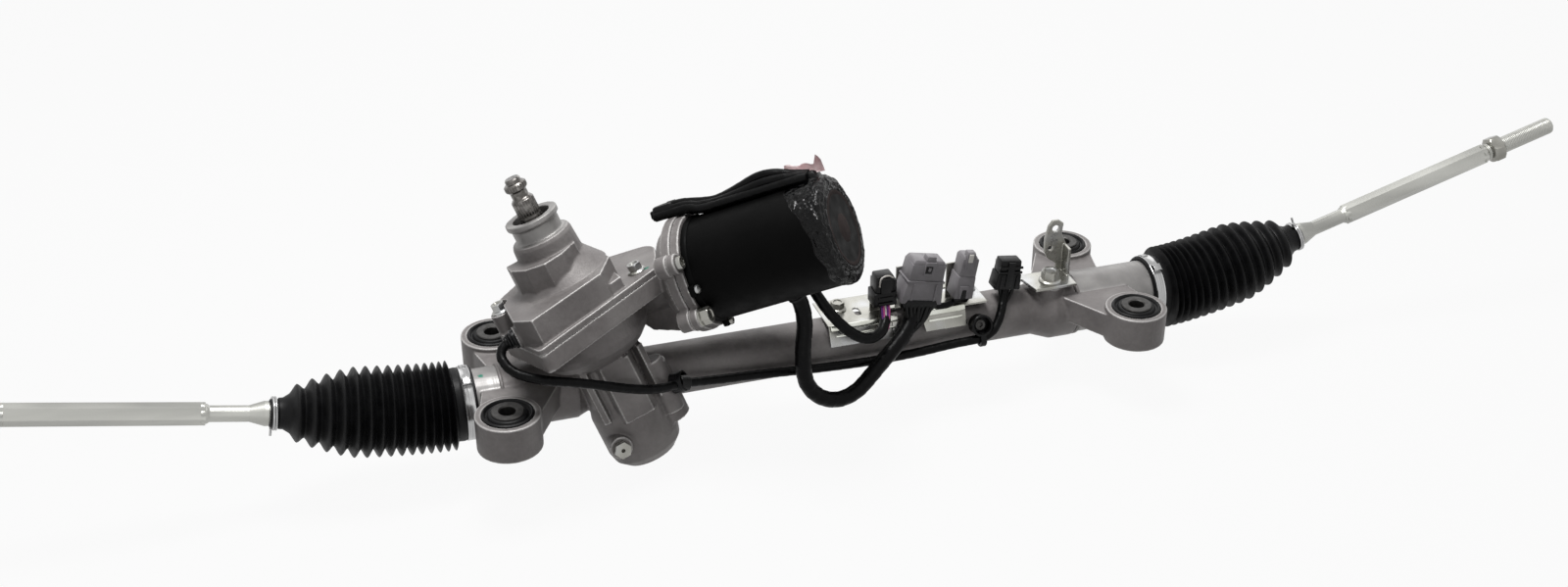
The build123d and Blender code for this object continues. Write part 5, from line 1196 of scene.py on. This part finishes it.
class RACK_OT_plugs(bpy.types.Operator):
    """Plugs with their shells, latches and windows, and the leads that enter them"""

    bl_idname = "rack.plugs"
    bl_label = "Plugs"

    def execute(self, context):
        for name, (place, finishes) in PLUGS.items():
            replaced = [name + "_connector"]
            for finish, blocks in finishes.items():
                forms = []
                for (w, d, x, y), (low, high), edge, top in blocks:
                    forms.append(slab(place, oblong(w, d, x, y), low, high, edge,
                                      top=oblong(*top, x, y) if top else None))
                gather(f"{name}_plug_{finish}", forms, finish, sharp=30, replaces=replaced)
                replaced = ()
        # Painted highlight: a white tube along the top edge of the signal plug's latch loop
        place = PLUGS["signal"][0]
        loop = [at(place, -5.4, -8.2, 19), at(place, -5.4, -8.6, 26), at(place, -2, -8.4, 28.2),
                at(place, 3, -8.2, 28.2), at(place, 5.6, -8.4, 25.8)]
        gather("latch_painted_highlight", [tube(line_through(loop, 0.6), 0.7, 12)], "white_wire", slot="white_nylon")
        self.fan()
        return {"FINISHED"}

    @staticmethod
    def fan():
        """Leads that spread from the cables' ends to the plugs."""
        place = PLUGS["power"][0]
        foot = Vector(ROUTES["power"][-4])
        forms = []
        for k in range(7):
            aside = (k - 3) / 3
            near = k % 2
            forms.append(tube(line_through([
                foot, at(place, aside * 4.5, -9 - near * 2, -12), at(place, aside * 9, -8.4 - near, -3),
                at(place, aside * 12.5, -7.0, 9)]), 1.7, 12))
        gather("power_leads", forms, "black_wire", slot="cable_sheath")
        forms = []
        place = PLUGS["sensor"][0]
        foot = Vector(ROUTES["sensor"][-3])
        for k in range(4):
            aside = (k - 1.5) / 1.5
            route = [foot, at(place, aside * 2.5, -6, -10), at(place, aside * 5, -5.5, -4),
                     at(place, aside * 6.5, -4, 2)]
            forms.append(tube(line_through(route), 1.5, 12))
        gather("sensor_leads", forms, "black_wire", slot="cable_sheath")
        place = PLUGS["signal"][0]
        for k, finish in enumerate(("violet_wire", "pink_wire", "white_wire", "violet_wire", "pink_wire")):
            aside = k - 2
            forms = [tube(line_through([
                at(place, aside * 1.5, -6.5, 1.5), at(place, aside * 1.7 - 0.4, -10.2, -1.5),
                Vector((53 + aside * 1.2, -27.2, 28)), Vector((52 + aside * 0.9, -31.8 - (k % 2), 23)),
                Vector((48 + aside * 0.5, -34.5, 21))]), 0.85, 12)]
            gather(f"signal_wire_{k + 1}", forms, finish, slot="cable_sheath")


OPERATORS = [RACK_OT_stage, RACK_OT_cords, RACK_OT_castings, RACK_OT_boots, RACK_OT_clamps, RACK_OT_rods,
             RACK_OT_input, RACK_OT_bushes, RACK_OT_bolts, RACK_OT_brackets, RACK_OT_motor, RACK_OT_plugs]


class RACK_PT_panel(bpy.types.Panel):
    """Buttons for each group of pieces"""

    bl_idname = "RACK_PT_panel"
    bl_label = "Steering rack"
    bl_space_type = "VIEW_3D"
    bl_region_type = "UI"
    bl_category = "Rack"

    def draw(self, context):
        for name in RackLooks.__annotations__:
            self.layout.prop(context.scene.rack_looks, name)
        for operator in OPERATORS:
            self.layout.operator(operator.bl_idname)


CLASSES = [RackLooks, *OPERATORS, RACK_PT_panel]


def register():
    for each in CLASSES:
        bpy.utils.register_class(each)
    bpy.types.Scene.rack_looks = PointerProperty(type=RackLooks)


def unregister():
    del bpy.types.Scene.rack_looks
    for each in reversed(CLASSES):
        bpy.utils.unregister_class(each)


def main():
    """Dress the frame's own nodes, then make every group of pieces."""
    register()
    FINISH.update(make_finishes(looks()))
    special = {"input_shaft": "oiled_steel"}
    for part in frame["record"]["subparts"]:
        node = frame["nodes"][part["node"]]
        node.data.materials.clear()
        finish = special.get(part["node"], part["material_slot"])
        node.data.materials.append(FINISH["plain_casting" if finish == "cast_aluminium" else finish])
    for operator in OPERATORS:
        group, name = operator.bl_idname.split(".")
        getattr(getattr(bpy.ops, group), name)()


if __name__ == "__main__":
    main()
